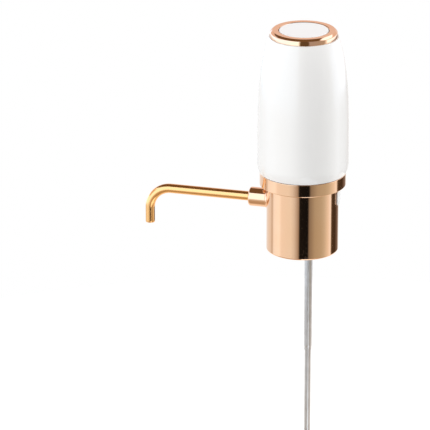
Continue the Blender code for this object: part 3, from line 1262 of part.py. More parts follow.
def make_collar(rose_gold):
    """The plated ring under the housing: a floor, a wall that shows and a spigot into the housing."""
    edge = COLLAR_EDGE_RADIUS
    profile = [
        (SPIGOT_BORE_RADIUS, COLLAR_TOP + COLLAR_SPIGOT_HEIGHT),
        (SPIGOT_RADIUS, COLLAR_TOP + COLLAR_SPIGOT_HEIGHT),
        (SPIGOT_RADIUS, COLLAR_TOP),
        (COLLAR_RADIUS, COLLAR_TOP),
        *arc((COLLAR_RADIUS - edge, COLLAR_BOTTOM + edge), edge, 0, -90, 2),
        (SHELF_OPENING_RADIUS, COLLAR_BOTTOM),
        (SHELF_OPENING_RADIUS, COLLAR_FLOOR_TOP),
        (SPIGOT_BORE_RADIUS, COLLAR_FLOOR_TOP),
    ]
    collar = part(turned("collar_ring", profile, SHELL_SIDES), rose_gold)
    cut_manifold_screw_holes(collar, COLLAR_BOTTOM - CUT_OVERRUN, COLLAR_FLOOR_TOP + CUT_OVERRUN)


def along_spout(name, profile, sides=ROUND_SIDES, closed=True):
    """A piece turned about the spout's axis; heights are distances out along -X."""
    return turned(name, profile, sides, closed, place=(0, 0, SPOUT_LEVEL), turn=(0, -math.pi / 2, 0))


def make_sleeve(rose_gold):
    """The drawn sleeve: a skirt round the bottle's neck, a shelf above and a boss for the spout."""
    edge = SLEEVE_EDGE_RADIUS
    profile = [
        (0, SLEEVE_RISE),
        (SLEEVE_RADIUS, SLEEVE_RISE),
        *arc((SLEEVE_RADIUS - edge, edge - SLEEVE_SKIRT), edge, 0, -90, 3),
        (0, -SLEEVE_SKIRT),
    ]
    sleeve = part(turned("sleeve", profile, SHELL_SIDES, closed=False), rose_gold)
    boss = rod("spout_boss", (-BOSS_FACE, 0, SPOUT_LEVEL), (-SLEEVE_RADIUS + BOSS_RADIUS / 2, 0, SPOUT_LEVEL),
               BOSS_RADIUS, sides=ROUND_SIDES)
    join(sleeve, boss)
    bore = SLEEVE_RADIUS - SLEEVE_WALL
    inside = [
        (0, SHELF_BOTTOM),
        (bore, SHELF_BOTTOM),
        (bore, -SLEEVE_SKIRT - CUT_OVERRUN),
        (0, -SLEEVE_SKIRT - CUT_OVERRUN),
    ]
    cut(sleeve, turned("sleeve_inside", inside, SHELL_SIDES, closed=False))
    cut(sleeve, rod("boss_bore", (-BOSS_FACE - CUT_OVERRUN, 0, SPOUT_LEVEL), (-bore + CUT_OVERRUN, 0, SPOUT_LEVEL),
                    BOSS_BORE_RADIUS, sides=ROUND_SIDES))
    port_low = (bore - CUT_OVERRUN, -PORT_HALF_WIDTH, PORT_LEVEL - PORT_HALF_HEIGHT)
    port_high = (SLEEVE_RADIUS + CUT_OVERRUN, PORT_HALF_WIDTH, PORT_LEVEL + PORT_HALF_HEIGHT)
    cut(sleeve, block("port_opening", port_low, port_high, edge=PORT_HALF_WIDTH / 2, axes="X"))
    cut(sleeve, upright("shelf_opening", 0, 0, SHELF_BOTTOM - CUT_OVERRUN, SLEEVE_RISE + CUT_OVERRUN,
                        SHELF_OPENING_RADIUS, sides=ROUND_SIDES))
    cut_manifold_screw_holes(sleeve, SHELF_BOTTOM - CUT_OVERRUN, SLEEVE_RISE + CUT_OVERRUN)


def make_manifold(white):
    """The moulded block in the sleeve, with a wine channel, an air channel and the port's pocket."""
    disc = upright("manifold", 0, 0, MANIFOLD_BOTTOM, MANIFOLD_TOP, MANIFOLD_RADIUS, sides=SHELL_SIDES)
    manifold = part(disc, white)
    nipple_top = MANIFOLD_TOP + AIR_NIPPLE_LENGTH
    nipple_foot = MANIFOLD_TOP - CUT_OVERRUN
    join(manifold, upright("air_nipple", AIR_NIPPLE_X, AIR_NIPPLE_Y, nipple_foot, nipple_top, NIPPLE_RADIUS))
    cut(manifold, upright("tube_socket", TUBE_AXIS_X, 0, MANIFOLD_BOTTOM - CUT_OVERRUN, TUBE_TOP + SEAT_GAP,
                          TUBE_RADIUS + PRESS_FIT))
    cut(manifold, upright("wine_riser", TUBE_AXIS_X, 0, TUBE_TOP, SPOUT_LEVEL, WINE_CHANNEL_RADIUS))
    cut(manifold, rod("wine_channel", (-MANIFOLD_RADIUS - CUT_OVERRUN, 0, SPOUT_LEVEL),
                      (TUBE_AXIS_X + WINE_CHANNEL_RADIUS, 0, SPOUT_LEVEL), WINE_CHANNEL_RADIUS - PRESS_FIT))
    cut(manifold, rod("nipple_seat", (-MANIFOLD_RADIUS - CUT_OVERRUN, 0, SPOUT_LEVEL),
                      (-NIPPLE_START + SEAT_GAP, 0, SPOUT_LEVEL), NIPPLE_FLANGE_RADIUS + PRESS_FIT,
                      sides=ROUND_SIDES))
    air_start = Vector((AIR_PORT_X, AIR_PORT_Y, MANIFOLD_BOTTOM))
    air_end = Vector((AIR_NIPPLE_X, AIR_NIPPLE_Y, MANIFOLD_TOP))
    beyond = (air_end - air_start).normalized() * CUT_OVERRUN
    cut(manifold, rod("air_channel", air_start - beyond, air_end, NIPPLE_BORE_RADIUS, sides=SCREW_SIDES))
    cut(manifold, upright("air_nipple_bore", AIR_NIPPLE_X, AIR_NIPPLE_Y, MANIFOLD_TOP - CUT_OVERRUN,
                          nipple_top + CUT_OVERRUN, NIPPLE_BORE_RADIUS + PRESS_FIT, sides=SCREW_SIDES))
    cut(manifold, charge_pocket())
    cut_manifold_screw_holes(manifold, MANIFOLD_BOTTOM - CUT_OVERRUN, MANIFOLD_TOP + CUT_OVERRUN)
    for number, (x, y) in enumerate(manifold_screw_places(), start=1):
        cut(manifold, upright(f"head_recess_{number}", x, y, MANIFOLD_BOTTOM - CUT_OVERRUN, clamp_seat(),
                              SCREW_HEAD_RADIUS + SEAT_GAP, sides=SMALL_SIDES))


def clamp_seat():
    """The depth at which the heads of the manifold's screws bear."""
    return MANIFOLD_BOTTOM + SCREW_HEAD_HEIGHT + 2 * SEAT_GAP


def charge_pocket():
    """The recess in the manifold for the charging socket and its board."""
    clearance = CHARGE_POCKET_CLEARANCE
    board_y = -SOCKET_HALF_WIDTH - SEAT_GAP - CHARGE_BOARD_THICKNESS
    low = (
        SOCKET_FACE - CHARGE_BOARD_LENGTH - clearance,
        board_y - clearance,
        PORT_LEVEL - CHARGE_BOARD_HALF_HEIGHT - clearance,
    )
    high = (
        MANIFOLD_RADIUS + CUT_OVERRUN,
        SOCKET_HALF_WIDTH + clearance,
        MANIFOLD_TOP + CUT_OVERRUN,
    )
    return block("charge_pocket", low, high)


def make_manifold_screws(steel):
    """Three screws from the stopper's side, through manifold, shelf and collar, into the base."""
    for number, (x, y) in enumerate(manifold_screw_places(), start=1):
        part(screw(f"manifold_screw_{number}", x, y, clamp_seat() - SEAT_GAP, BASE_TOP - SEAT_GAP), steel)


def make_stopper(silicone):
    """The ribbed silicone stopper, whose flange rests on the bottle's rim, with two ports."""
    pitch = STOPPER_LENGTH / (STOPPER_RIBS + 1)
    ribs = []
    for number in range(STOPPER_RIBS):
        level = -pitch * (number + 1) + STOPPER_RIB_HEIGHT / 2
        core = STOPPER_RADIUS + (STOPPER_TIP_RADIUS - STOPPER_RADIUS) * -level / STOPPER_LENGTH
        ribs.append((core, level))
        ribs.append((STOPPER_RIB_RADIUS, level - STOPPER_RIB_HEIGHT / 2))
        ribs.append((core, level - STOPPER_RIB_HEIGHT))
    profile = [
        (0, FLANGE_TOP),
        (STOPPER_FLANGE_RADIUS, FLANGE_TOP),
        (STOPPER_FLANGE_RADIUS, 0),
        (STOPPER_RADIUS, 0),
        *ribs,
        (STOPPER_TIP_RADIUS, -STOPPER_LENGTH),
        (0, -STOPPER_LENGTH),
    ]
    stopper = part(turned("stopper", profile, closed=False), silicone)
    low = -STOPPER_LENGTH - CUT_OVERRUN
    high = FLANGE_TOP + CUT_OVERRUN
    cut(stopper, upright("tube_port", TUBE_AXIS_X, 0, low, high, TUBE_RADIUS + PRESS_FIT))
    cut(stopper, upright("air_port", AIR_PORT_X, AIR_PORT_Y, low, high, NIPPLE_RADIUS, sides=SCREW_SIDES))


def tube_profile(top, radius, crimped, flared):
    """One section of the suction tube: its head flares out, its lower end is crimped in."""
    bottom = top - TUBE_LENGTH
    bore = radius - TUBE_WALL
    next_radius = radius - TUBE_STEP
    head_radius = radius + TUBE_STEP - TUBE_WALL - SLIDE_FIT if flared else radius
    crimp_bore = next_radius + SLIDE_FIT / 2 if crimped else bore
    crimp_radius = crimp_bore + TUBE_WALL if crimped else radius
    flare_bottom = top - TUBE_FLARE_LENGTH
    crimp_top = bottom + TUBE_CRIMP_LENGTH
    outer = [(head_radius, top)]
    if flared:
        outer += [(head_radius, flare_bottom), (radius, flare_bottom - TUBE_WALL)]
    if crimped:
        outer += [(radius, crimp_top), (crimp_radius, crimp_top - TUBE_WALL)]
    outer.append((crimp_radius, bottom))
    inner = [(crimp_bore, bottom)]
    if crimped:
        inner += [(crimp_bore, crimp_top - TUBE_WALL), (bore, crimp_top)]
    inner.append((bore, top))
    return outer + inner


def tube_top(number):
    """The upper end of a section of the suction tube when it is drawn out."""
    return TUBE_TOP - number * TUBE_PITCH


def make_suction_tube(steel, silicone):
    """Three telescopic sections, drawn out, and the notched foot on the lowest."""
    place = (TUBE_AXIS_X, 0, 0)
    names = ("dip_tube_upper", "dip_tube_middle", "dip_tube_lower")
    sections = []
    for number, name in enumerate(names):
        radius = TUBE_RADIUS - number * TUBE_STEP
        crimped = number < len(names) - 1
        profile = tube_profile(tube_top(number), radius, crimped, number > 0)
        sections.append(part(turned(name, profile, SMALL_SIDES, place=place), steel))
    lowest = TUBE_RADIUS - 2 * TUBE_STEP
    end = tube_top(2) - TUBE_LENGTH
    foot_bore = lowest + PRESS_FIT
    mouth = lowest - TUBE_WALL
    profile = [
        (foot_bore, end + FOOT_LENGTH - FOOT_BELOW),
        (FOOT_RADIUS - SEAT_GAP, end + FOOT_LENGTH - FOOT_BELOW),
        (FOOT_RADIUS, end + FOOT_LENGTH / 2),
        (FOOT_RADIUS, end - FOOT_BELOW),
        (mouth, end - FOOT_BELOW),
        (mouth, end - SEAT_GAP),
        (foot_bore, end - SEAT_GAP),
    ]
    foot = part(turned("dip_tube_foot", profile, SMALL_SIDES, place=place), silicone)
    notch_low = (TUBE_AXIS_X - FOOT_RADIUS - CUT_OVERRUN, -FOOT_NOTCH_HALF_WIDTH, end - FOOT_BELOW - CUT_OVERRUN)
    notch_high = (
        TUBE_AXIS_X + FOOT_RADIUS + CUT_OVERRUN,
        FOOT_NOTCH_HALF_WIDTH,
        end - FOOT_BELOW + FOOT_NOTCH_HEIGHT - SEAT_GAP,
    )
    cut(foot, block("foot_notch", notch_low, notch_high))
    carry(pivot("middle_tube_axis", (TUBE_AXIS_X, 0, tube_top(1))), sections[1])
    carry(pivot("lower_tube_axis", (TUBE_AXIS_X, 0, tube_top(2))), sections[2], foot)


def make_spout_nipple(steel, black):
    """The pipe stub that the spout plugs onto, seated in the manifold, and its ring seal."""
    groove_far = NIPPLE_END - RING_SEAL_SETBACK
    groove_near = groove_far - 2 * RING_SEAL_SECTION_RADIUS - 2 * SEAT_GAP
    groove_radius = NIPPLE_PIPE_RADIUS - RING_SEAL_GROOVE_DEPTH
    profile = [
        (NIPPLE_PIPE_BORE_RADIUS, NIPPLE_END),
        (NIPPLE_PIPE_RADIUS - SEAT_GAP, NIPPLE_END),
        (NIPPLE_PIPE_RADIUS, NIPPLE_END - SEAT_GAP),
        (NIPPLE_PIPE_RADIUS, groove_far),
        (groove_radius, groove_far),
        (groove_radius, groove_near),
        (NIPPLE_PIPE_RADIUS, groove_near),
        (NIPPLE_PIPE_RADIUS, NIPPLE_START + NIPPLE_FLANGE_LENGTH),
        (NIPPLE_FLANGE_RADIUS, NIPPLE_START + NIPPLE_FLANGE_LENGTH),
        (NIPPLE_FLANGE_RADIUS, NIPPLE_START),
        (NIPPLE_PIPE_BORE_RADIUS, NIPPLE_START),
    ]
    part(along_spout("spout_nipple", profile, SMALL_SIDES + 4), steel)
    section = RING_SEAL_SECTION_RADIUS
    middle = (groove_near + groove_far) / 2
    ring_radius = groove_radius + PRESS_FIT + section
    ring = arc((ring_radius, middle), section, 180, -135, 7)
    part(along_spout("spout_o_ring", ring, SMALL_SIDES + 4), black)


def make_spout(rose_gold, yellow_gold):
    """The ferrule and the bent pipe, which turn together about the nipple."""
    nose = FERRULE_NOSE_LENGTH
    bore = NIPPLE_PIPE_RADIUS + FERRULE_BORE_CLEARANCE
    pipe_hole = SPOUT_RADIUS + PRESS_FIT
    nose_steps = 3
    rounded = []
    for step in range(nose_steps + 1):
        angle = math.pi / 2 * step / nose_steps
        radius = FERRULE_RADIUS - nose + nose * math.sin(angle)
        rounded.append((radius, FERRULE_END - nose + nose * math.cos(angle)))
    profile = [
        (pipe_hole, FERRULE_END),
        *rounded,
        (FERRULE_RADIUS, FERRULE_START),
        (bore, FERRULE_START),
        (bore, FERRULE_WALL_START),
        (pipe_hole, FERRULE_WALL_START),
    ]
    ferrule = part(along_spout("spout_ferrule", profile), rose_gold)
    outer = as_mesh(wire("spout_tube", spout_path(0), SPOUT_RADIUS, SPOUT_BEVEL_RESOLUTION))
    pipe = part(outer, yellow_gold)
    bore_path = spout_path(CUT_OVERRUN)
    cut(pipe, as_mesh(wire("spout_bore", bore_path, SPOUT_BORE_RADIUS, SPOUT_BEVEL_RESOLUTION)))
    carry(pivot("spout_axis", (-BOSS_FACE, 0, SPOUT_LEVEL)), ferrule, pipe)


def spout_path(overrun):
    """The spout's centre line: straight out, a quarter bend, straight down; overrun at both ends."""
    start = -(FERRULE_WALL_START + SEAT_GAP) + overrun
    bend_start = -SPOUT_REACH + SPOUT_BEND_RADIUS
    outlet = SPOUT_LEVEL - SPOUT_DROP - overrun
    points = []
    for step in range(SPOUT_STRAIGHT_STEPS):
        x = start + (bend_start - start) * step / SPOUT_STRAIGHT_STEPS
        points.append((x, 0, SPOUT_LEVEL))
    for step in range(SPOUT_BEND_STEPS + 1):
        angle = math.pi / 2 * step / SPOUT_BEND_STEPS
        x = bend_start - SPOUT_BEND_RADIUS * math.sin(angle)
        z = SPOUT_LEVEL - SPOUT_BEND_RADIUS + SPOUT_BEND_RADIUS * math.cos(angle)
        points.append((x, 0, z))
    points.append((-SPOUT_REACH, 0, outlet))
    return points


def make_port(silicone, steel, green):
    """The charging socket on its upright board, and the flap over it, hinged at its top edge."""
    half_height = SOCKET_HALF_HEIGHT
    low = (SOCKET_FACE - SOCKET_LENGTH, -SOCKET_HALF_WIDTH, PORT_LEVEL - half_height)
    high = (SOCKET_FACE, SOCKET_HALF_WIDTH, PORT_LEVEL + half_height)
    socket = part(block("usb_socket", low, high, edge=SOCKET_CORNER_RADIUS, axes="X"), steel)
    depth = SOCKET_LENGTH - SOCKET_CORNER_RADIUS
    wall = SOCKET_WALL
    mouth_low = (SOCKET_FACE - depth, wall - SOCKET_HALF_WIDTH, PORT_LEVEL + wall - half_height)
    mouth_high = (SOCKET_FACE + CUT_OVERRUN, SOCKET_HALF_WIDTH - wall, PORT_LEVEL - wall + half_height)
    mouth = block("socket_mouth", mouth_low, mouth_high, edge=SOCKET_CORNER_RADIUS - wall, axes="X")
    cut(socket, mouth)
    tongue = SOCKET_TONGUE_HALF_THICKNESS
    tongue_half_height = half_height - 2 * SOCKET_CORNER_RADIUS / 2
    tongue_low = (SOCKET_FACE - depth - wall, -tongue, PORT_LEVEL - tongue_half_height)
    tongue_high = (SOCKET_FACE - SOCKET_CORNER_RADIUS / 2, tongue, PORT_LEVEL + tongue_half_height)
    join(socket, block("socket_tongue", tongue_low, tongue_high))
    board_high_y = -SOCKET_HALF_WIDTH - SEAT_GAP
    board_low = (
        SOCKET_FACE - CHARGE_BOARD_LENGTH,
        board_high_y - CHARGE_BOARD_THICKNESS,
        PORT_LEVEL - CHARGE_BOARD_HALF_HEIGHT,
    )
    board_high = (SOCKET_FACE - SEAT_GAP, board_high_y, PORT_LEVEL + CHARGE_BOARD_HALF_HEIGHT)
    part(block("charge_board", board_low, board_high), green)
    flap_low = (FLAP_BACK, -FLAP_HALF_WIDTH, PORT_LEVEL - FLAP_HALF_HEIGHT)
    flap_high = (FLAP_BACK + FLAP_THICKNESS, FLAP_HALF_WIDTH, PORT_LEVEL + FLAP_HALF_HEIGHT)
    flap = part(block("port_cover", flap_low, flap_high, edge=FLAP_EDGE_RADIUS), silicone)
    clearance = FLAP_PLUG_CLEARANCE
    plug_low = (
        FLAP_BACK - FLAP_PLUG_DEPTH,
        clearance - PORT_HALF_WIDTH,
        PORT_LEVEL - PORT_HALF_HEIGHT + clearance,
    )
    plug_high = (
        FLAP_BACK + FLAP_THICKNESS / 2,
        PORT_HALF_WIDTH - clearance,
        PORT_LEVEL + PORT_HALF_HEIGHT - clearance,
    )
    join(flap, block("flap_plug", plug_low, plug_high, edge=PORT_HALF_WIDTH / 3, axes="X"))
    carry(pivot("flap_hinge", FLAP_HINGE), flap)


def make_hose(silicone):
    """The air hose from the manifold's nipple to the pump's, with its bore."""
    start = Vector((AIR_NIPPLE_X, AIR_NIPPLE_Y, MANIFOLD_TOP + SEAT_GAP))
    end = Vector((PUMP_X, 0, HEAD_BOTTOM - SEAT_GAP))
    lower = Vector((start.x, start.y, BASE_TOP))
    upper = Vector((end.x, end.y, HEAD_BOTTOM - NIPPLE_LENGTH))
    start_half = (start + lower) / 2
    end_half = (end + upper) / 2
    middle = (lower + upper) / 2
    points = smooth_route([start, start_half, lower, middle, upper, end_half, end], 4)
    up = Vector((0, 0, CUT_OVERRUN))
    hose = part(as_mesh(wire("air_hose", points, HOSE_RADIUS, COIL_BEVEL_RESOLUTION)), silicone)
    longer = [start - up, *points, end + up]
    cut(hose, as_mesh(wire("hose_bore", longer, HOSE_BORE_RADIUS, COIL_BEVEL_RESOLUTION)))


def make_leads(red, black):
    """The wires inside: each leaves 0.3 mm short of what it is soldered to."""
    motor_1, motor_2, cell_plus, cell_minus, charge = cable_holes()
    ceiling = BOARD_BOTTOM - SEAT_GAP
    terminal = END_CAP_TOP + TERMINAL_HEIGHT + SEAT_GAP
    for number, (x, y) in enumerate((motor_1, motor_2), start=1):
        middle = (terminal + ceiling) / 2
        route = [Vector((x, y, terminal)), Vector((x, y, middle)), Vector((x, y, ceiling))]
        part(wire(f"motor_lead_{number}", smooth_route(route, 2), LEAD_RADIUS), red if number == 1 else black)
    x, y = cell_plus
    plus_start = CELL_TOP + CELL_NUB_HEIGHT + SEAT_GAP
    route = [Vector((x, y, plus_start)), Vector((x, y, (plus_start + ceiling) / 2)), Vector((x, y, ceiling))]
    part(wire("battery_lead_1", smooth_route(route, 2), LEAD_RADIUS), red)
    x, y = cell_minus
    touch = CELL_BOTTOM + CELL_RADIUS / 2
    side = CELL_RADIUS + SEAT_GAP
    bend = touch + CELL_RADIUS / 2
    route = [
        Vector((CELL_X, side, touch)),
        Vector((CELL_X, y, bend)),
        Vector((x, y, bend + CELL_RADIUS)),
        Vector((x, y, (bend + ceiling) / 2)),
        Vector((x, y, ceiling)),
    ]
    part(wire("battery_lead_2", smooth_route(route, 4), LEAD_RADIUS), black)
    x, y = charge
    board_x = SOCKET_FACE - CHARGE_BOARD_LENGTH + CHARGE_BOARD_THICKNESS / 2
    board_y = -SOCKET_HALF_WIDTH - SEAT_GAP - CHARGE_BOARD_THICKNESS / 2
    board_top = PORT_LEVEL + CHARGE_BOARD_HALF_HEIGHT + SEAT_GAP
    turn_level = BASE_TOP + CELL_RADIUS / 2
    route = [
        Vector((board_x, board_y, board_top)),
        Vector((board_x, board_y, COLLAR_BOTTOM)),
        Vector((SPINE_RIGHT + CABLE_HOLE_RADIUS, -SHELF_OPENING_RADIUS * CHARGE_LEAD_TURN_share, BASE_TOP)),
        Vector((x, y, turn_level + CELL_RADIUS)),
        Vector((x, y, (turn_level + ceiling) / 2)),
        Vector((x, y, ceiling)),
    ]
    part(wire("charge_lead", smooth_route(route, 4), LEAD_RADIUS), red)


def main():
    """Makes every piece, from the outside in."""
    white = finish("white_gloss", WHITE, 0.18)
    rose_gold = finish("rose_gold", ROSE_GOLD, 0.12, 1.0)
    yellow_gold = finish("yellow_gold", YELLOW_GOLD, 0.2, 1.0)
    silicone = finish("silicone", SILICONE, 0.55)
    black = finish("black_moulding", BLACK, 0.5)
    steel = finish("steel", STEEL, 0.3, 1.0)
    copper = finish("copper", COPPER, 0.35, 1.0)
    green = finish("board", BOARD_GREEN, 0.5)
    blue = finish("cell_wrap", CELL_BLUE, 0.4)
    red = finish("red_wire", RED, 0.5)

    make_housing(white)
    make_top_ring(rose_gold)
    make_button(white)
    make_collar(rose_gold)
    make_sleeve(rose_gold)
    make_spout(rose_gold, yellow_gold)
    make_port(silicone, steel, green)
    make_stopper(silicone)
    make_suction_tube(steel, silicone)

    make_manifold(white)
    make_manifold_screws(steel)
    make_spout_nipple(steel, black)
    make_hose(silicone)

    make_pump_head(black)
    make_valves(white, silicone)
    make_diaphragm(silicone)
    make_pump_body(black)
    make_pump_screws(steel)
    make_wobble_plate(white, steel)
    make_rotor(white, steel, copper)
    make_motor_case(steel, black, copper, black)

    make_base(black)
    make_spine(black)
    make_straps(black)
    make_cell(blue)
    make_button_guide(black)
    make_button_spring(steel)
    make_switch(black, white)
    make_main_board(green, steel)
    make_leads(red, black)


main()
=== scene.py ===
import math

import bmesh
import bpy
import numpy as np
from bpy.props import FloatProperty, FloatVectorProperty, IntProperty, PointerProperty
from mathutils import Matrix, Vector


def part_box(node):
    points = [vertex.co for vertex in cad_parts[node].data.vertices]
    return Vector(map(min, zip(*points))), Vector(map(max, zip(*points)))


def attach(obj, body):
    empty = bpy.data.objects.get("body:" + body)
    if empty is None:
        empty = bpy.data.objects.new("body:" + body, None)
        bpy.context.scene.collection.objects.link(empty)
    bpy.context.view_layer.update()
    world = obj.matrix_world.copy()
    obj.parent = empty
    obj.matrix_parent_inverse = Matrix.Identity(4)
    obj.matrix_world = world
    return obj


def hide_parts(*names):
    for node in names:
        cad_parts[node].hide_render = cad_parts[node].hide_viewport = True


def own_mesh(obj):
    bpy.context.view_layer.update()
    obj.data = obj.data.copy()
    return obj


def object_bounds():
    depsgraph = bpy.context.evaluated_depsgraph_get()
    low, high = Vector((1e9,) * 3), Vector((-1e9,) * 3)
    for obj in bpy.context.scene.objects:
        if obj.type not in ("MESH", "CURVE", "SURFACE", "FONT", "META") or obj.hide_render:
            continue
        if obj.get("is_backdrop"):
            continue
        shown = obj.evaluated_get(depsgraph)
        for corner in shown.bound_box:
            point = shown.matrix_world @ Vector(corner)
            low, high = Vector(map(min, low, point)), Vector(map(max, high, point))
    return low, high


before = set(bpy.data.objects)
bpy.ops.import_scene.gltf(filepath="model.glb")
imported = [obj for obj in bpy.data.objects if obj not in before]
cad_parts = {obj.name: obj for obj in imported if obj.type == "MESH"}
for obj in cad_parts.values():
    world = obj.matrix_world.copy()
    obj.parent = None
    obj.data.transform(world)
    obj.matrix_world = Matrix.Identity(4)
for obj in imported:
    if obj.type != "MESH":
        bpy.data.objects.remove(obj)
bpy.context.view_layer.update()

bl_info = {
    "name": "Bottle-Top Wine Aerator",
    "version": (1, 0, 0),
    "blender": (4, 5, 0),
    "location": "3D View > Sidebar > Aerator",
    "description": "Builds the surfaces, finishes and studio of an electric bottle-top wine aerator",
    "category": "Object",
}

MM = 0.001
TURN = 2 * math.pi

# Points closer than this are one point.
JOIN = 2e-6
# A row of points this far from a rounded edge keeps the flat beside it flat.
SUPPORT = 0.08 * MM

# The camera stands where the picture was taken from, and the studio's bands are placed from it.
VIEW_AZIMUTH = math.radians(14.4)
VIEW_ELEVATION = math.radians(20.38)
VIEW_DISTANCE = 2.511
TOWARDS_VIEW = np.array([math.sin(VIEW_AZIMUTH), -math.cos(VIEW_AZIMUTH), 0.0])
RIGHT_OF_VIEW = np.array([math.cos(VIEW_AZIMUTH), math.sin(VIEW_AZIMUTH), 0.0])

# The lens and its sensor in millimetres, and the picture's width in pixels.
LENS = 328.8
SENSOR = 36.0
PICTURE = 430
# The barrel stands this many pixels right of the picture's middle.
BARREL_SHIFT = 87.4

# The studio's rose wall, which the plated pieces mirror.
ROSE_WALL = (0.89, 0.70, 0.63)


def low(node):
    """A node's lowest corner at rest."""
    return np.array(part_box(node)[0])


def high(node):
    """A node's highest corner at rest."""
    return np.array(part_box(node)[1])


def middle_of(node):
    """The middle of a node's box at rest."""
    return (low(node) + high(node)) / 2


# Properties

def length(name, description, default):
    return FloatProperty(name=name, description=description, default=default, precision=5,
                         subtype="DISTANCE", unit="LENGTH")


def colour(name, description, default):
    return FloatVectorProperty(name=name, description=description, default=default, size=3,
                               subtype="COLOR", min=0, max=1)


class AeratorSizes(bpy.types.PropertyGroup):
    """Sizes of edges and details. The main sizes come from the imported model."""
    segments: IntProperty(name="Segments", description="Points round every turned piece, a multiple of four",
                          default=192, min=32)
    housing_wall: length("Housing wall", "Thickness of the white barrel's wall", 2.0 * MM)
    housing_taper: length("Housing taper", "How far the barrel is drawn in at its top", 7.0 * MM)
    taper_power: FloatProperty(name="Taper power", description="How late the taper sets in", default=4.2)
    foot_tuck: length("Foot tuck", "How far the barrel curves in at its foot", 1.4 * MM)
    tuck_height: length("Tuck height", "Where the curve at the foot begins, above it", 6.5 * MM)
    lip_radius: length("Lip radius", "Hole in the top of the barrel", 17.5 * MM)
    skirt_radius: length("Skirt radius", "The ring's skirt inside the barrel's lip", 17.2 * MM)
    spigot_radius: length("Spigot radius", "The collar's spigot inside the barrel's foot", 26.8 * MM)
    spigot_wall: length("Spigot wall", "Thickness of the collar's spigot", 1.4 * MM)
    opening_radius: length("Opening radius", "Hole in the collar's floor and the sleeve's top", 11.4 * MM)
    sleeve_wall: length("Sleeve wall", "Thickness of the drawn sleeve", 1.2 * MM)
    sleeve_edge: length("Sleeve edge", "Radius on the sleeve's lower edge", 0.9 * MM)
    boss_radius: length("Boss radius", "Radius of the boss that carries the spout", 6.5 * MM)
    boss_bore: length("Boss bore", "Radius of the hole through the boss", 4.1 * MM)
    boss_flare: length("Boss flare", "How far the boss spreads where it grows out of the sleeve", 0.9 * MM)
    port_width: length("Port width", "Width of the charging port's opening", 3.9 * MM)
    port_height: length("Port height", "Height of the charging port's opening", 9.0 * MM)
    chamfer: length("Chamfer", "Length of the ring's chamfer along its slope", 1.75 * MM)
    ring_inset: length("Ring inset", "How far the ring's foot stands in from the barrel's edge", 0.6 * MM)
    ring_bore_edge: length("Ring bore edge", "Radius on the ring's edge round the button", 0.65 * MM)
    button_gap: length("Button gap", "Gap between the button and the ring", 0.3 * MM)
    button_flange: length("Button flange", "How far the button's flange stands out under the ring", 1.0 * MM)
    button_dish: length("Button dish", "How deep the middle of the button is dished", 0.2 * MM)
    spring_wire: length("Spring wire", "Radius of the button spring's wire", 0.3 * MM)
    ferrule_bore: length("Ferrule bore", "Radius of the ferrule's hole round the nipple", 3.95 * MM)
    pipe_radius: length("Pipe radius", "Outer radius of the spout's pipe", 3.0 * MM)
    pipe_bore: length("Pipe bore", "Inner radius of the spout's pipe", 2.3 * MM)
    pipe_bend: length("Pipe bend", "Radius of the bend in the spout's pipe", 14.0 * MM)
    tube_wall: length("Suction tube wall", "Thickness of the suction tube's walls", 0.3 * MM)


class AeratorColours(bpy.types.PropertyGroup):
    """Colours of the finishes, as linear values."""
    white_gloss: colour("White gloss", "Housing", (0.93, 0.925, 0.915))
    button_gloss: colour("Button gloss", "The push button", (0.92, 0.945, 0.96))
    rose_gold: colour("Rose gold", "Ring, collar, sleeve and ferrule", (0.88, 0.585, 0.395))
    gold_pipe: colour("Gold pipe", "The spout's pipe", (0.91, 0.53, 0.222))
    silicone: colour("Silicone", "Stopper, hose, diaphragm and foot", (0.80, 0.80, 0.78))
    white_flap: colour("White flap", "The cover of the charging port", (0.88, 0.88, 0.87))
    seal: colour("Seal", "The spout's ring seal", (0.028, 0.028, 0.03))
    steel: colour("Steel", "Suction tube, screws, spring and motor", (0.62, 0.62, 0.63))
    white_moulding: colour("White moulding", "Manifold, valve plate and pump wheel", (0.82, 0.82, 0.80))
    black_moulding: colour("Black moulding", "Frame, clamps and pump body", (0.03, 0.03, 0.034))
    bronze: colour("Bronze", "Bearings", (0.62, 0.40, 0.19))
    magnet: colour("Magnet", "The motor's magnets", (0.055, 0.055, 0.06))
    windings: colour("Windings", "Enamelled copper", (0.66, 0.27, 0.12))
    board: colour("Board", "Solder mask", (0.015, 0.14, 0.06))
    cell_wrap: colour("Cell wrap", "Shrink wrap on the cell", (0.04, 0.13, 0.34))
    red_wire: colour("Red wire", "Insulation", (0.55, 0.025, 0.025))
    black_wire: colour("Black wire", "Insulation", (0.025, 0.025, 0.027))


# Surfaces

def quarter(count):
    """Angles that go evenly through a quarter turn."""
    return np.linspace(0, math.pi / 2, count)


def arc_points(middle, radius, start, end, steps):
    """Points (r, z) = middle + radius * (cos a, sin a), with a going evenly from start to end in degrees."""
    angle = np.radians(np.linspace(start, end, steps + 1))
    return np.column_stack([middle[0] + radius * np.cos(angle), middle[1] + radius * np.sin(angle)])


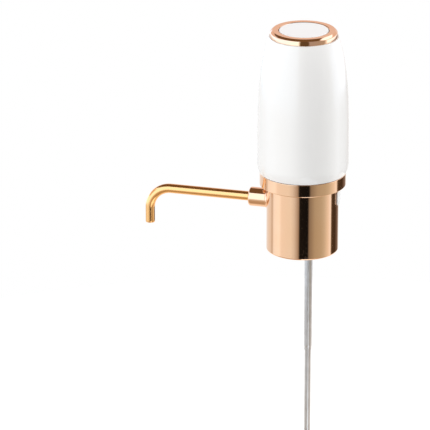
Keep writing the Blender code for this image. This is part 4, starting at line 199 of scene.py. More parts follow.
def rounded(corners, radii, steps=6, support=SUPPORT):
    """A closed outline with its corners rounded. Each corner is replaced by the arc of its radius that
    touches both sides. A further point close to each end of the arc keeps the flats beside it flat."""
    corners = np.asarray(corners, float)
    radii = np.broadcast_to(radii, len(corners))
    outline = []
    for number, (corner, radius) in enumerate(zip(corners, radii)):
        back = corners[number - 1] - corner
        ahead = corners[(number + 1) % len(corners)] - corner
        back_length, ahead_length = np.hypot(*back), np.hypot(*ahead)
        back, ahead = back / back_length, ahead / ahead_length
        half = math.acos(np.clip(back @ ahead, -1, 1)) / 2
        if radius <= 0 or half > math.radians(89):
            outline.append(corner[None])
            continue
        most = 0.45 * min(back_length, ahead_length)
        reach = min(radius / math.tan(half), most)
        radius = reach * math.tan(half)
        middle = corner + (back + ahead) / np.hypot(*(back + ahead)) * radius / math.sin(half)
        first = np.arctan2(*(corner + back * reach - middle)[::-1])
        sweep = np.arctan2(*(corner + ahead * reach - middle)[::-1]) - first
        sweep = (sweep + math.pi) % TURN - math.pi
        angle = first + sweep * np.linspace(0, 1, steps + 1)
        points = middle + radius * np.column_stack([np.cos(angle), np.sin(angle)])
        further = reach + support
        if back_length > 2.4 * further:
            points = np.vstack([corner + back * further, points])
        if ahead_length > 2.4 * further:
            points = np.vstack([points, corner + ahead * further])
        outline.append(points)
    return np.vstack(outline)


def turned_rows(outline, segments, place=(0, 0), axis="z", start=0.0):
    """An outline of radii r and heights h carried round an axis: x = place + r cos t, y = place + r sin t,
    z = h, with t going once round from start. About the spout's axis h runs out along -X instead."""
    outline = np.asarray(outline, float)
    angle = start + np.linspace(0, TURN, segments, endpoint=False)
    across = outline[:, :1] * np.cos(angle)
    along = outline[:, :1] * np.sin(angle)
    height = np.repeat(outline[:, 1:], segments, axis=1)
    if axis == "z":
        return np.stack([across + place[0], along + place[1], height], -1)
    return np.stack([-height, along + place[0], across + place[1]], -1)


def skin(rows, close=False):
    """Faces between neighbouring rows of points. Each row is a closed loop, and close joins the last row
    to the first."""
    count, around = rows.shape[:2]
    index = np.arange(count * around).reshape(count, around)
    below = index if close else index[:-1]
    above = np.roll(index, -1, 0) if close else index[1:]
    faces = np.stack([below, np.roll(below, -1, 1), np.roll(above, -1, 1), above], -1)
    return rows.reshape(-1, 3), faces.reshape(-1, 4)


def make_piece(name, *surfaces, merge=True):
    """One closed mesh from surfaces, each given as points and faces. Seams and poles are merged and faces
    are turned outwards."""
    points, faces, start = [], [], 0
    for some_points, some_faces in surfaces:
        points.append(some_points)
        faces.append(some_faces + start)
        start += len(some_points)
    mesh = bpy.data.meshes.new(name)
    mesh.from_pydata(np.vstack(points).tolist(), [], np.vstack(faces).tolist())
    builder = bmesh.new()
    builder.from_mesh(mesh)
    if merge:
        bmesh.ops.remove_doubles(builder, verts=builder.verts, dist=JOIN)
        bmesh.ops.dissolve_degenerate(builder, edges=builder.edges, dist=JOIN / 10)
    bmesh.ops.recalc_face_normals(builder, faces=builder.faces)
    open_edges = sum(1 for edge in builder.edges if not edge.is_manifold)
    builder.to_mesh(mesh)
    builder.free()
    if open_edges:
        raise RuntimeError(f"{name} has {open_edges} open edges")
    mesh.shade_smooth()
    piece = bpy.data.objects.new(name, mesh)
    bpy.context.scene.collection.objects.link(piece)
    return piece


def place_piece(piece, body, slot, *nodes, material=None):
    """Gives a piece its finish, its body and the nodes that it stands for."""
    piece.data.materials.append(bpy.data.materials[material or slot])
    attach(piece, body)
    if nodes:
        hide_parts(*nodes)


def turned_piece(name, outline, segments, place=(0, 0), axis="z"):
    """A closed outline turned into a ring."""
    return make_piece(name, skin(turned_rows(outline, segments, place, axis), close=True))


def carried_rows(path, tangents, radii, segments, sideways=(0, 1, 0)):
    """Circles carried along a path: point = path + radius * (cos t * across + sin t * beside). Across is
    square to the path and to sideways, and beside is square to the path and to across. Also gives each
    point's place on the same pipe if it were straight."""
    across = np.cross(np.asarray(sideways, float), tangents)
    across /= np.linalg.norm(across, axis=1, keepdims=True)
    beside = np.cross(tangents, across)
    beside /= np.linalg.norm(beside, axis=1, keepdims=True)
    angle = np.linspace(0, TURN, segments, endpoint=False)[None, :, None]
    radii = np.asarray(radii, float)[:, None, None]
    rows = path[:, None] + radii * (np.cos(angle) * across[:, None] + np.sin(angle) * beside[:, None])
    steps = np.linalg.norm(np.diff(path, axis=0), axis=1)
    along = np.concatenate([[0], np.cumsum(steps)])[:, None, None]
    along = np.broadcast_to(along, radii.shape[:1] + (segments, 1))
    straight = np.concatenate([along, radii * np.cos(angle), radii * np.sin(angle)], -1)
    return rows, straight


def keep_straight(piece, straight):
    """Stores a pipe's straightened coordinates on its points, for a finish that follows the pipe."""
    attribute = piece.data.attributes.new("straight", "FLOAT_VECTOR", "POINT")
    attribute.data.foreach_set("vector", straight.reshape(-1).astype(np.float32))


# Shader maths

class Number:
    """A value that varies over a surface. Arithmetic on it adds the Math nodes that it needs."""

    def __init__(self, shading, socket):
        self.shading = shading
        self.socket = socket

    def math(self, operation, *values):
        made = self.shading.node("ShaderNodeMath", {"operation": operation}, dict(enumerate(values)))
        return Number(self.shading, made.outputs[0])

    def __add__(self, other):
        return self.math("ADD", self, other)

    def __sub__(self, other):
        return self.math("SUBTRACT", self, other)

    def __mul__(self, other):
        return self.math("MULTIPLY", self, other)

    def __truediv__(self, other):
        return self.math("DIVIDE", self, other)

    def __pow__(self, other):
        return self.math("POWER", self, other)

    def __rsub__(self, other):
        return self.math("SUBTRACT", other, self)

    def __rtruediv__(self, other):
        return self.math("DIVIDE", other, self)

    def __rpow__(self, other):
        return self.math("POWER", other, self)

    __radd__ = __add__
    __rmul__ = __mul__

    def sine(self):
        return self.math("SINE", self)

    def over(self, limit):
        return self.math("GREATER_THAN", self, limit)

    def step(self, start, end):
        """0 below start, 1 above end, and a smooth rise between them."""
        made = self.shading.node("ShaderNodeMapRange", {"interpolation_type": "SMOOTHSTEP"},
                                 {0: self, 1: start, 2: end, 3: 0.0, 4: 1.0})
        return Number(self.shading, made.outputs[0])


class Shading:
    """A node tree that is being filled."""

    def __init__(self, tree):
        self.tree = tree
        tree.nodes.clear()

    def node(self, kind, settings=None, sockets=None):
        """Adds a node of a type, gives it its settings, and then its sockets' values or links."""
        made = self.tree.nodes.new(kind)
        for name, value in (settings or {}).items():
            if name == "stops":
                set_stops(made.color_ramp, value)
            else:
                setattr(made, name, value)
        for key, value in (sockets or {}).items():
            value = value.socket if isinstance(value, Number) else value
            if isinstance(value, bpy.types.NodeSocket):
                self.tree.links.new(made.inputs[key], value)
            else:
                made.inputs[key].default_value = value
        return made

    def point(self):
        return self.node("ShaderNodeTexCoord").outputs["Object"]

    def straight(self):
        return self.node("ShaderNodeAttribute", {"attribute_name": "straight"}).outputs["Vector"]

    def axes(self, vector):
        made = self.node("ShaderNodeSeparateXYZ", None, {0: vector})
        return [Number(self, socket) for socket in made.outputs]

    def vector(self, x, y, z):
        return self.node("ShaderNodeCombineXYZ", None, {0: x, 1: y, 2: z}).outputs[0]

    def stretched(self, vector, factors):
        made = self.node("ShaderNodeVectorMath", {"operation": "MULTIPLY"}, {0: vector, 1: factors})
        return made.outputs[0]

    def along(self, vector, direction):
        made = self.node("ShaderNodeVectorMath", {"operation": "DOT_PRODUCT"}, {0: vector, 1: direction})
        return Number(self, made.outputs["Value"])

    def noise(self, vector, scale, detail=2.0, roughness=0.5):
        made = self.node("ShaderNodeTexNoise", None,
                         {"Vector": vector, "Scale": scale, "Detail": detail, "Roughness": roughness})
        return Number(self, made.outputs[0])

    def cells(self, vector, scale):
        made = self.node("ShaderNodeTexVoronoi", {"feature": "F1"}, {"Vector": vector, "Scale": scale})
        return Number(self, made.outputs["Distance"])

    def mix(self, factor, first, second):
        made = self.node("ShaderNodeMix", {"data_type": "RGBA"},
                         {0: factor, 6: opaque(first), 7: opaque(second)})
        return made.outputs[2]

    def ramp(self, value, stops):
        return self.node("ShaderNodeValToRGB", {"stops": stops}, {0: value}).outputs[0]

    def bump(self, height, distance):
        made = self.node("ShaderNodeBump", None, {"Height": height, "Distance": distance, "Strength": 1.0})
        return made.outputs[0]

    def rays(self, *kinds):
        """1 for rays of the kinds that are named, and 0 for all others."""
        path = self.node("ShaderNodeLightPath")
        first, *others = [Number(self, path.outputs[f"Is {kind} Ray"]) for kind in kinds]
        return sum(others, first)


def opaque(value):
    """A colour with its alpha, or a link as it is."""
    return value if isinstance(value, bpy.types.NodeSocket) else (*value[:3], 1.0)


def shade(value, factor):
    """A colour made lighter or darker by a factor."""
    return tuple(min(1.0, part * factor) for part in value)


def set_stops(ramp, stops):
    """Fills a colour ramp with (position, colour) pairs in order."""
    while len(ramp.elements) > 1:
        ramp.elements.remove(ramp.elements[-1])
    ramp.elements[0].position = stops[0][0]
    ramp.elements[0].color = opaque(stops[0][1])
    for position, value in stops[1:]:
        ramp.elements.new(position).color = opaque(value)


def surface(shading, sockets):
    """The shader that most finishes end in."""
    made = shading.node("ShaderNodeBsdfPrincipled", None, sockets)
    shading.node("ShaderNodeOutputMaterial", None, {0: made.outputs[0]})


def finish(name):
    """A new material, with the tree that its nodes go into."""
    material = bpy.data.materials.new(name)
    material.use_nodes = True
    return Shading(material.node_tree)


def gloss_plastic(name, base):
    """Glossy moulded plastic: a slow drift of shade, faint smears in the gloss and a slight orange peel."""
    look = finish(name)
    point = look.point()
    drift = look.noise(point, 22.0, 3.0)
    smear = look.noise(look.stretched(point, (70.0, 70.0, 16.0)), 1.0, 4.0, 0.6).step(0.45, 0.72)
    dust = look.cells(point, 1500.0).step(0.10, 0.16)
    peel = look.noise(point, 520.0, 2.0)
    surface(look, {
        "Base Color": look.mix(drift.step(0.3, 0.7), shade(base, 0.985), base),
        "Roughness": 0.13 + 0.09 * smear + 0.04 * (1 - dust),
        "Normal": look.bump(peel, 0.000006),
        "IOR": 1.46, "Coat Weight": 0.12, "Coat Roughness": 0.04,
    })


def turned_metal(name, base, spout_level=None):
    """Plated metal polished on a lathe. Hairlines run round the barrel's axis, or round the spout's where
    its level is given. The plating's hue drifts slightly and handling leaves faint smears."""
    look = finish(name)
    point = look.point()
    x, y, z = look.axes(point)
    if spout_level is not None:
        x, z = z - spout_level, x
    radius = (x * x + y * y) ** 0.5
    lines = look.noise(look.vector(radius * 9000.0, z * 9000.0, x * 60.0 + y * 40.0), 1.0, 3.0, 0.6)
    drift = look.noise(point, 45.0, 2.0)
    smear = look.noise(look.stretched(point, (90.0, 90.0, 30.0)), 1.0, 4.0, 0.65).step(0.5, 0.75)
    warm = (base[0], base[1] * 0.97, base[2] * 0.93)
    surface(look, {
        "Base Color": look.mix(drift.step(0.3, 0.7), warm, base),
        "Metallic": 1.0,
        "Roughness": 0.055 + 0.03 * lines + 0.035 * smear,
        "Normal": look.bump(lines, 0.0000006),
    })


def brushed_pipe(name, base):
    """Gold-plated pipe: drawing lines run along the pipe and follow its bend."""
    look = finish(name)
    straight = look.straight()
    lines = look.noise(look.stretched(straight, (30.0, 5200.0, 5200.0)), 1.0, 4.0, 0.65)
    broad = look.noise(look.stretched(straight, (14.0, 900.0, 900.0)), 1.0, 3.0)
    drift = look.noise(straight, 60.0, 2.0)
    deep = (base[0] * 0.97, base[1] * 0.93, base[2] * 0.86)
    surface(look, {
        "Base Color": look.mix((0.55 * lines + 0.45 * broad).step(0.3, 0.68), deep, base),
        "Metallic": 1.0,
        "Roughness": 0.13 + 0.06 * lines + 0.04 * drift,
        "Normal": look.bump(lines, 0.0000012),
    })


def brushed_steel(name, base):
    """Drawn steel: fine lines along its length, with a slightly cloudy shade."""
    look = finish(name)
    point = look.point()
    lines = look.noise(look.stretched(point, (6000.0, 6000.0, 60.0)), 1.0, 4.0, 0.6)
    cloud = look.noise(point, 150.0, 3.0)
    surface(look, {
        "Base Color": look.mix(cloud.step(0.35, 0.7), shade(base, 0.9), shade(base, 1.03)),
        "Metallic": 1.0,
        "Roughness": 0.22 + 0.14 * lines + 0.05 * cloud,
        "Normal": look.bump(lines, 0.000003),
    })


def moulded_rubber(name, base, roughness, glow=0.0):
    """Silicone or rubber: a fine moulded grain, and a bloom that dulls it in patches. Glow is how much
    light passes through it."""
    look = finish(name)
    point = look.point()
    grain = look.noise(point, 2600.0, 3.0, 0.6)
    bloom = look.noise(point, 130.0, 3.0).step(0.35, 0.7)
    surface(look, {
        "Base Color": look.mix(bloom, shade(base, 0.95), shade(base, 1.02)),
        "Roughness": roughness - 0.08 * bloom + 0.12 * grain,
        "Normal": look.bump(grain, 0.00001),
        "IOR": 1.41, "Subsurface Weight": glow, "Subsurface Radius": (0.0012, 0.0012, 0.0012),
        "Subsurface Scale": 1.0,
    })


def satin_moulding(name, base):
    """Filled nylon or acetal: spark-eroded grain, flow marks and a slight sheen on the high spots."""
    look = finish(name)
    point = look.point()
    grain = look.cells(point, 2400.0)
    flow = look.noise(look.stretched(point, (90.0, 260.0, 90.0)), 1.0, 5.0, 0.6)
    surface(look, {
        "Base Color": look.mix(flow.step(0.35, 0.7), shade(base, 0.88), shade(base, 1.08)),
        "Roughness": 0.42 + 0.16 * grain + 0.08 * flow,
        "Normal": look.bump(grain, 0.000012),
        "IOR": 1.5,
    })


def sintered_bronze(name, base):
    """Sintered bearing metal: grains with dark, oil-filled pores between them."""
    look = finish(name)
    point = look.point()
    grains = look.cells(point, 3200.0)
    pores = look.noise(point, 4200.0, 3.0).step(0.6, 0.7)
    surface(look, {
        "Base Color": look.mix(pores, base, shade(base, 0.25)),
        "Metallic": 1.0 - 0.6 * pores,
        "Roughness": 0.34 + 0.2 * grains + 0.2 * pores,
        "Normal": look.bump(grains - pores, 0.00001),
    })


def ferrite(name, base):
    """Pressed ferrite: dark, fine-grained and ground on its faces."""
    look = finish(name)
    point = look.point()
    grain = look.noise(point, 3800.0, 4.0, 0.7)
    ground = look.noise(look.stretched(point, (200.0, 200.0, 5000.0)), 1.0, 2.0)
    surface(look, {
        "Base Color": look.mix(grain.step(0.35, 0.7), shade(base, 0.7), shade(base, 1.5)),
        "Roughness": 0.5 + 0.2 * grain - 0.08 * ground,
        "Normal": look.bump(grain + ground, 0.000008),
    })


def wound_core(name, base, centre):
    """The armature: enamelled copper wound in layers, between stacked steel sheets on the outside."""
    look = finish(name)
    wire, layer, sheet = 0.38 * MM, 0.9 * MM, 0.5 * MM
    x, y, z = look.axes(look.point())
    x = x - centre[0]
    radius = (x * x + y * y) ** 0.5
    turns = (z * (TURN / wire) + radius * (TURN / layer)).sine() * 0.5 + 0.5
    sheets = (z * (TURN / sheet)).sine() * 0.5 + 0.5
    outside = radius.step(6.55 * MM, 6.7 * MM)
    cloud = look.noise(look.point(), 300.0, 3.0)
    copper = look.mix(turns, shade(base, 0.35), base)
    steel = look.mix(sheets, (0.16, 0.16, 0.17), (0.5, 0.5, 0.51))
    surface(look, {
        "Base Color": look.mix(outside, copper, steel),
        "Metallic": 0.85 + 0.15 * outside,
        "Roughness": 0.3 + 0.15 * cloud + 0.1 * outside,
        "Normal": look.bump(turns * (1 - outside) + sheets * outside * 0.4, 0.00008),
    })


def circuit_board(name, base, chip_level):
    """Solder mask with tracks showing through it as a faint relief, tinned pads, and dark chips above the
    chip level."""
    look = finish(name)
    point = look.point()
    tracks = look.node("ShaderNodeTexBrick", {"offset": 0.37, "squash": 1.0},
                       {"Vector": look.stretched(point, (1.0, 1.0, 0.0)), "Scale": 260.0,
                        "Mortar Size": 0.05, "Mortar Smooth": 0.2, "Brick Width": 0.7, "Row Height": 0.31})
    lines = Number(look, tracks.outputs["Fac"])
    pads = 1 - look.cells(look.stretched(point, (1.0, 1.0, 0.2)), 330.0).step(0.16, 0.19)
    chips = look.axes(point)[2].over(chip_level)
    weave = look.noise(point, 1700.0, 2.0)
    mask = look.mix(lines, base, shade(base, 1.9))
    tinned = look.mix(pads * (1 - chips), mask, (0.62, 0.60, 0.55))
    surface(look, {
        "Base Color": look.mix(chips, tinned, (0.018, 0.018, 0.02)),
        "Metallic": pads * (1 - chips),
        "Roughness": 0.34 + 0.2 * chips + 0.1 * weave,
        "Normal": look.bump(lines * 0.5 + pads + weave * 0.2, 0.00003),
    })


def shrink_wrap(name, base, top):
    """Plastic sleeve shrunk on a cell: fine wrinkles, and the bare can and contact above its end."""
    look = finish(name)
    point = look.point()
    bare = look.axes(point)[2].step(top - 0.85 * MM, top - 0.75 * MM)
    wrinkles = look.noise(look.stretched(point, (900.0, 900.0, 120.0)), 1.0, 4.0)
    soft = look.noise(point, 160.0, 2.0)
    surface(look, {
        "Base Color": look.mix(bare, look.mix(soft, shade(base, 0.85), shade(base, 1.15)), (0.6, 0.6, 0.61)),
        "Metallic": bare,
        "Roughness": 0.26 + 0.18 * wrinkles,
        "Normal": look.bump(wrinkles, 0.00003),
        "Coat Weight": 0.3 - 0.3 * bare,
    })


def wire_cover(name, base):
    """Insulation on a wire: smooth, with the lay of the strands just showing through."""
    look = finish(name)
    lay = 1.6 * MM
    point = look.point()
    x, y, z = look.axes(point)
    strands = ((z + 0.8 * x + 0.8 * y) * (TURN / lay)).sine() * 0.5 + 0.5
    cloud = look.noise(point, 260.0, 2.0)
    surface(look, {
        "Base Color": look.mix(cloud, shade(base, 0.85), shade(base, 1.12)),
        "Roughness": 0.34 + 0.1 * cloud + 0.05 * strands,
        "Normal": look.bump(strands, 0.00001),
    })


# Operators

class AERATOR_OT_finishes(bpy.types.Operator):
    """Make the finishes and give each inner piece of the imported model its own"""
    bl_idname = "aerator.finishes"
    bl_label = "Finishes"
    bl_options = {"REGISTER", "UNDO"}

    def execute(self, context):
        colours = context.scene.aerator_colours
        for material in list(bpy.data.materials):
            material.name = "packed_" + material.name
        gloss_plastic("white_gloss", tuple(colours.white_gloss))
        gloss_plastic("button_gloss", tuple(colours.button_gloss))
        turned_metal("rose_gold", tuple(colours.rose_gold))
        turned_metal("rose_gold_ferrule", tuple(colours.rose_gold), middle_of("spout_ferrule")[2])
        brushed_pipe("gold_pipe", tuple(colours.gold_pipe))
        moulded_rubber("silicone", tuple(colours.silicone), 0.42, glow=0.15)
        moulded_rubber("white_flap", tuple(colours.white_flap), 0.45, glow=0.1)
        moulded_rubber("seal", tuple(colours.seal), 0.45)
        brushed_steel("steel", tuple(colours.steel))
        satin_moulding("white_moulding", tuple(colours.white_moulding))
        satin_moulding("black_moulding", tuple(colours.black_moulding))
        sintered_bronze("bronze", tuple(colours.bronze))
        ferrite("magnet", tuple(colours.magnet))
        wound_core("windings", tuple(colours.windings), middle_of("motor_armature"))
        circuit_board("board", tuple(colours.board), high("main_board")[2] - 1.35 * MM)
        shrink_wrap("cell_wrap", tuple(colours.cell_wrap), high("battery_cell")[2])
        wire_cover("red_wire", tuple(colours.red_wire))
        wire_cover("black_wire", tuple(colours.black_wire))
        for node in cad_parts.values():
            slot = node.material_slots[0]
            slot.material = bpy.data.materials[slot.material.name.removeprefix("packed_")]
        return {"FINISHED"}


class AERATOR_OT_housing(bpy.types.Operator):
    """The white barrel: radius = R - taper * s ** power, where s runs from 0 at its foot to 1 at its top.
    On the outside, tuck * (1 - h / H) ** 2 is taken off below the height H"""
    bl_idname = "aerator.housing"
    bl_label = "Housing"
    bl_options = {"REGISTER", "UNDO"}

    def execute(self, context):
        size = context.scene.aerator_sizes
        radius, foot, top = high("housing")[0], low("housing")[2], high("housing")[2]
        lip, wall = size.lip_radius, size.housing_wall
        rim_edge, lip_edge, shoulder_edge = 0.3 * MM, 0.2 * MM, 0.4 * MM
        tucked = size.tuck_height / (top - foot)
        share = np.sin(quarter(56))
        share = np.concatenate([np.linspace(0, tucked, 14), share[share > 1.1 * tucked]])
        level = foot + (top - foot) * share
        curve = radius - size.housing_taper * share ** size.taper_power
        outer = np.column_stack([curve - size.foot_tuck * np.clip(1 - share / tucked, 0, 1) ** 2, level])
        inner = np.column_stack([curve - wall, level])
        inner = inner[inner[:, 1] < top - wall - shoulder_edge]
        inner = np.vstack([inner, [np.interp(top - wall, level, curve) - wall, top - wall]])
        corners = np.vstack([outer, [[lip, top], [lip, top - wall]], inner[::-1]])
        radii = np.zeros(len(corners))
        radii[[0, len(outer) - 1, -1]] = rim_edge
        radii[[len(outer), len(outer) + 1]] = lip_edge
        radii[len(outer) + 2] = shoulder_edge
        piece = turned_piece("housing_shell", rounded(corners, radii), size.segments)
        place_piece(piece, "barrel", "white_gloss", "housing")
        return {"FINISHED"}


class AERATOR_OT_top_ring(bpy.types.Operator):
    """The plated ring: a flat face, then a shoulder whose slope b falls along its length s, from a chamfer
    into a steep band. r = flat + sum of sin b ds and z = top - sum of cos b ds"""
    bl_idname = "aerator.top_ring"
    bl_label = "Top ring"
    bl_options = {"REGISTER", "UNDO"}

    def execute(self, context):
        size = context.scene.aerator_sizes
        seam, lean, fine_edge, inner_edge = 0.06 * MM, 0.1 * MM, 0.08 * MM, 0.1 * MM
        bottom, top = low("top_ring")[2], high("top_ring")[2]
        outside = high("top_ring")[0] - size.ring_inset
        bore = high("button_cap")[0] - size.button_flange + size.button_gap
        foot = high("housing")[2] + seam
        skirt = size.skirt_radius
        chamfer_end = size.chamfer
        band_start = chamfer_end + 0.5 * MM
        along = np.concatenate([
            np.linspace(0, chamfer_end, 15), np.linspace(chamfer_end, band_start, 8)[1:],
        ])
        slope = np.radians(np.interp(along, [0, chamfer_end, band_start], [50, 41, 8]))
        between = (slope[1:] + slope[:-1]) / 2
        steps = np.diff(along)[:, None] * np.column_stack([np.sin(between), -np.cos(between)])
        shoulder = np.vstack([[0, 0], np.cumsum(steps, axis=0)])
        flat = outside - lean - shoulder[-1, 0]
        shoulder = np.vstack([shoulder + [flat, top], [outside, foot]])
        corners = np.vstack([[[bore, top]], shoulder, [[skirt, foot], [skirt, bottom], [bore, bottom]]])
        radii = np.zeros(len(corners))
        radii[0] = size.ring_bore_edge
        radii[[1, len(shoulder)]] = fine_edge
        radii[len(shoulder) + 1:] = inner_edge
        piece = turned_piece("ring_plated", rounded(corners, radii), size.segments)
        place_piece(piece, "barrel", "rose_gold", "top_ring")
        return {"FINISHED"}


class AERATOR_OT_button(bpy.types.Operator):
    """The push button: a cap with a skirt, a flange and a stem, turned from pole to pole. Its top is dished
    by depth * (1 - (r / R) ** 2) ** 2"""
    bl_idname = "aerator.button"
    bl_label = "Button"
    bl_options = {"REGISTER", "UNDO"}

    def execute(self, context):
        size = context.scene.aerator_sizes
        top, stem_end = high("button_cap")[2], low("button_cap")[2]
        flange = high("button_cap")[0]
        radius = flange - size.button_flange
        flange_top, flange_bottom, crown = top - 8.3 * MM, top - 9.5 * MM, top - 1.8 * MM
        inside, stem = radius - 1.45 * MM, 2.0 * MM
        dished = radius - 1.3 * MM
        reach = np.linspace(0, dished, 12)
        dish = np.column_stack([reach, top - size.button_dish * (1 - (reach / dished) ** 2) ** 2])
        corners = [[radius, top], [radius, flange_top], [flange, flange_top], [flange, flange_bottom],
                   [inside, flange_bottom], [inside, crown], [stem, crown], [stem, stem_end],
                   [0, stem_end], [0, top]]
        radii = np.array([0.5, 0.1, 0.2, 0.2, 0.2, 0.3, 0.3, 0.3, 0, 0]) * MM
        outline = np.vstack([dish, rounded(corners, radii)[:-1]])
        piece = make_piece("button_top", skin(turned_rows(outline, size.segments)))
        place_piece(piece, "button", "white_gloss", "button_cap", material="button_gloss")
        return {"FINISHED"}


class AERATOR_OT_spring(bpy.types.Operator):
    """The button's return spring: a circle carried along a helix, x = R cos t, y = R sin t, whose pitch
    eases in and out over the first and last half turn"""
    bl_idname = "aerator.spring"
    bl_label = "Button spring"
    bl_options = {"REGISTER", "UNDO"}

    def execute(self, context):
        size = context.scene.aerator_sizes
        wire, turns, steps, eased, stroke = size.spring_wire, 5, 220, 0.5, 1.2 * MM
        foot, head = low("button_spring")[2], high("button_spring")[2]
        coil = (high("button_spring") - low("button_spring"))[0] / 2 - wire
        turn = np.linspace(0, turns, steps + 1)
        pitch = np.clip(turn / eased, 0.02, 1) * np.clip((turns - turn) / eased, 0.02, 1)
        rise = np.concatenate([[0], np.cumsum((pitch[1:] + pitch[:-1]) / 2)])
        level = foot + wire + (head - foot - 2 * wire) * rise / rise[-1]
        path = np.column_stack([coil * np.cos(TURN * turn), coil * np.sin(TURN * turn), level])
        tangents = np.gradient(path, axis=0)
        tangents /= np.linalg.norm(tangents, axis=1, keepdims=True)
        order = np.concatenate([[0, 0], np.arange(steps + 1), [steps, steps]])
        radii = np.full(len(order), wire)
        radii[[0, -1]] = 0
        radii[[1, -2]] = 0.9 * wire
        rows, _ = carried_rows(path[order], tangents[order], radii, 14, sideways=(0, 0, 1))
        piece = make_piece("spring_coil", skin(rows))
        place_piece(piece, "barrel", "steel", "button_spring")
        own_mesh(piece)
        return {"FINISHED"}


class AERATOR_OT_collar(bpy.types.Operator):
    """The plated ring under the housing, with its spigot, turned round the barrel's axis"""
    bl_idname = "aerator.collar"
    bl_label = "Collar ring"
    bl_options = {"REGISTER", "UNDO"}

    def execute(self, context):
        size = context.scene.aerator_sizes
        seam, thickness = 0.3 * MM, 1.5 * MM
        radius, bottom, top = high("collar_ring")[0], low("collar_ring")[2], high("collar_ring")[2]
        shoulder = low("housing")[2] - seam
        floor = bottom + thickness
        spigot, opening = size.spigot_radius, size.opening_radius
        inside = spigot - size.spigot_wall
        corners = [[inside, top], [spigot, top], [spigot, shoulder], [radius, shoulder], [radius, bottom],
                   [opening, bottom], [opening, floor], [inside, floor]]
        radii = np.array([0.2, 0.2, 0.15, 0.3, 0.5, 0.3, 0.3, 0.3]) * MM
        piece = turned_piece("collar_plated", rounded(corners, radii), size.segments)
        place_piece(piece, "barrel", "rose_gold", "collar_ring")
        return {"FINISHED"}


def pierced_wall(radius, levels, around, openings):
    """A cylinder's wall on a grid of angle and level, x = R cos a, y = R sin a, with a block of cells left
    out for each opening. From the block's edge, rows of points close in on the opening's outline:
    point = edge * (1 - s) + outline * s in the plane of y and z, and x = +-(R^2 - y^2)^0.5 puts them back
    on the wall."""
    rows = turned_rows(np.column_stack([np.full(len(levels), radius), levels]), around, start=math.pi / 2)
    points, faces = skin(rows)
    kept = np.ones((len(levels) - 1, around), bool)
    patches, rims = [], []
    for side, half_columns, bottom, top, outline in openings:
        centre = around // 4 if side < 0 else 3 * around // 4
        first, last = centre - half_columns, centre + half_columns
        # The slack finds a level that rounding has moved up a little.
        slack = JOIN / 20
        row_low, row_high = np.searchsorted(levels, [bottom - slack, top - slack])
        kept[row_low:row_high, first:last] = False
        edge = np.vstack([
            rows[row_low, first:last], rows[row_low:row_high, last],
            rows[row_high, first + 1:last + 1][::-1], rows[row_low + 1:row_high + 1, first][::-1],
        ])
        target = outline(edge[:, 1:])
        share = np.linspace(0, 1, 9)[:, None, None]
        plane = edge[None, :, 1:] * (1 - share) + target[None] * share
        x = side * np.sqrt(radius ** 2 - plane[..., :1] ** 2)
        patch = np.concatenate([x, plane], -1)
        patches.append(skin(patch))
        rims.append(patch[-1])
    return [(points, faces[kept.reshape(-1)]), *patches], rims


def round_hole(level, hole):
    """Gives an opening's outline: each point of the grid's block goes straight towards the hole's middle,
    onto a circle."""

    def outline(plane):
        direction = plane - [0, level]
        return [0, level] + hole * direction / np.linalg.norm(direction, axis=1, keepdims=True)
    return outline


def slot_hole(level, block, half):
    """Gives an opening's outline: the grid's block shrinks to a slot with rounded corners. Block and half
    are half their widths and heights."""
    corner = half[0] / 2

    def outline(plane):
        local = (plane - [0, level]) / block * half
        core = np.clip(local, corner - half, half - corner)
        out = local - core
        return [0, level] + core + corner * out / np.linalg.norm(out, axis=1, keepdims=True)
    return outline


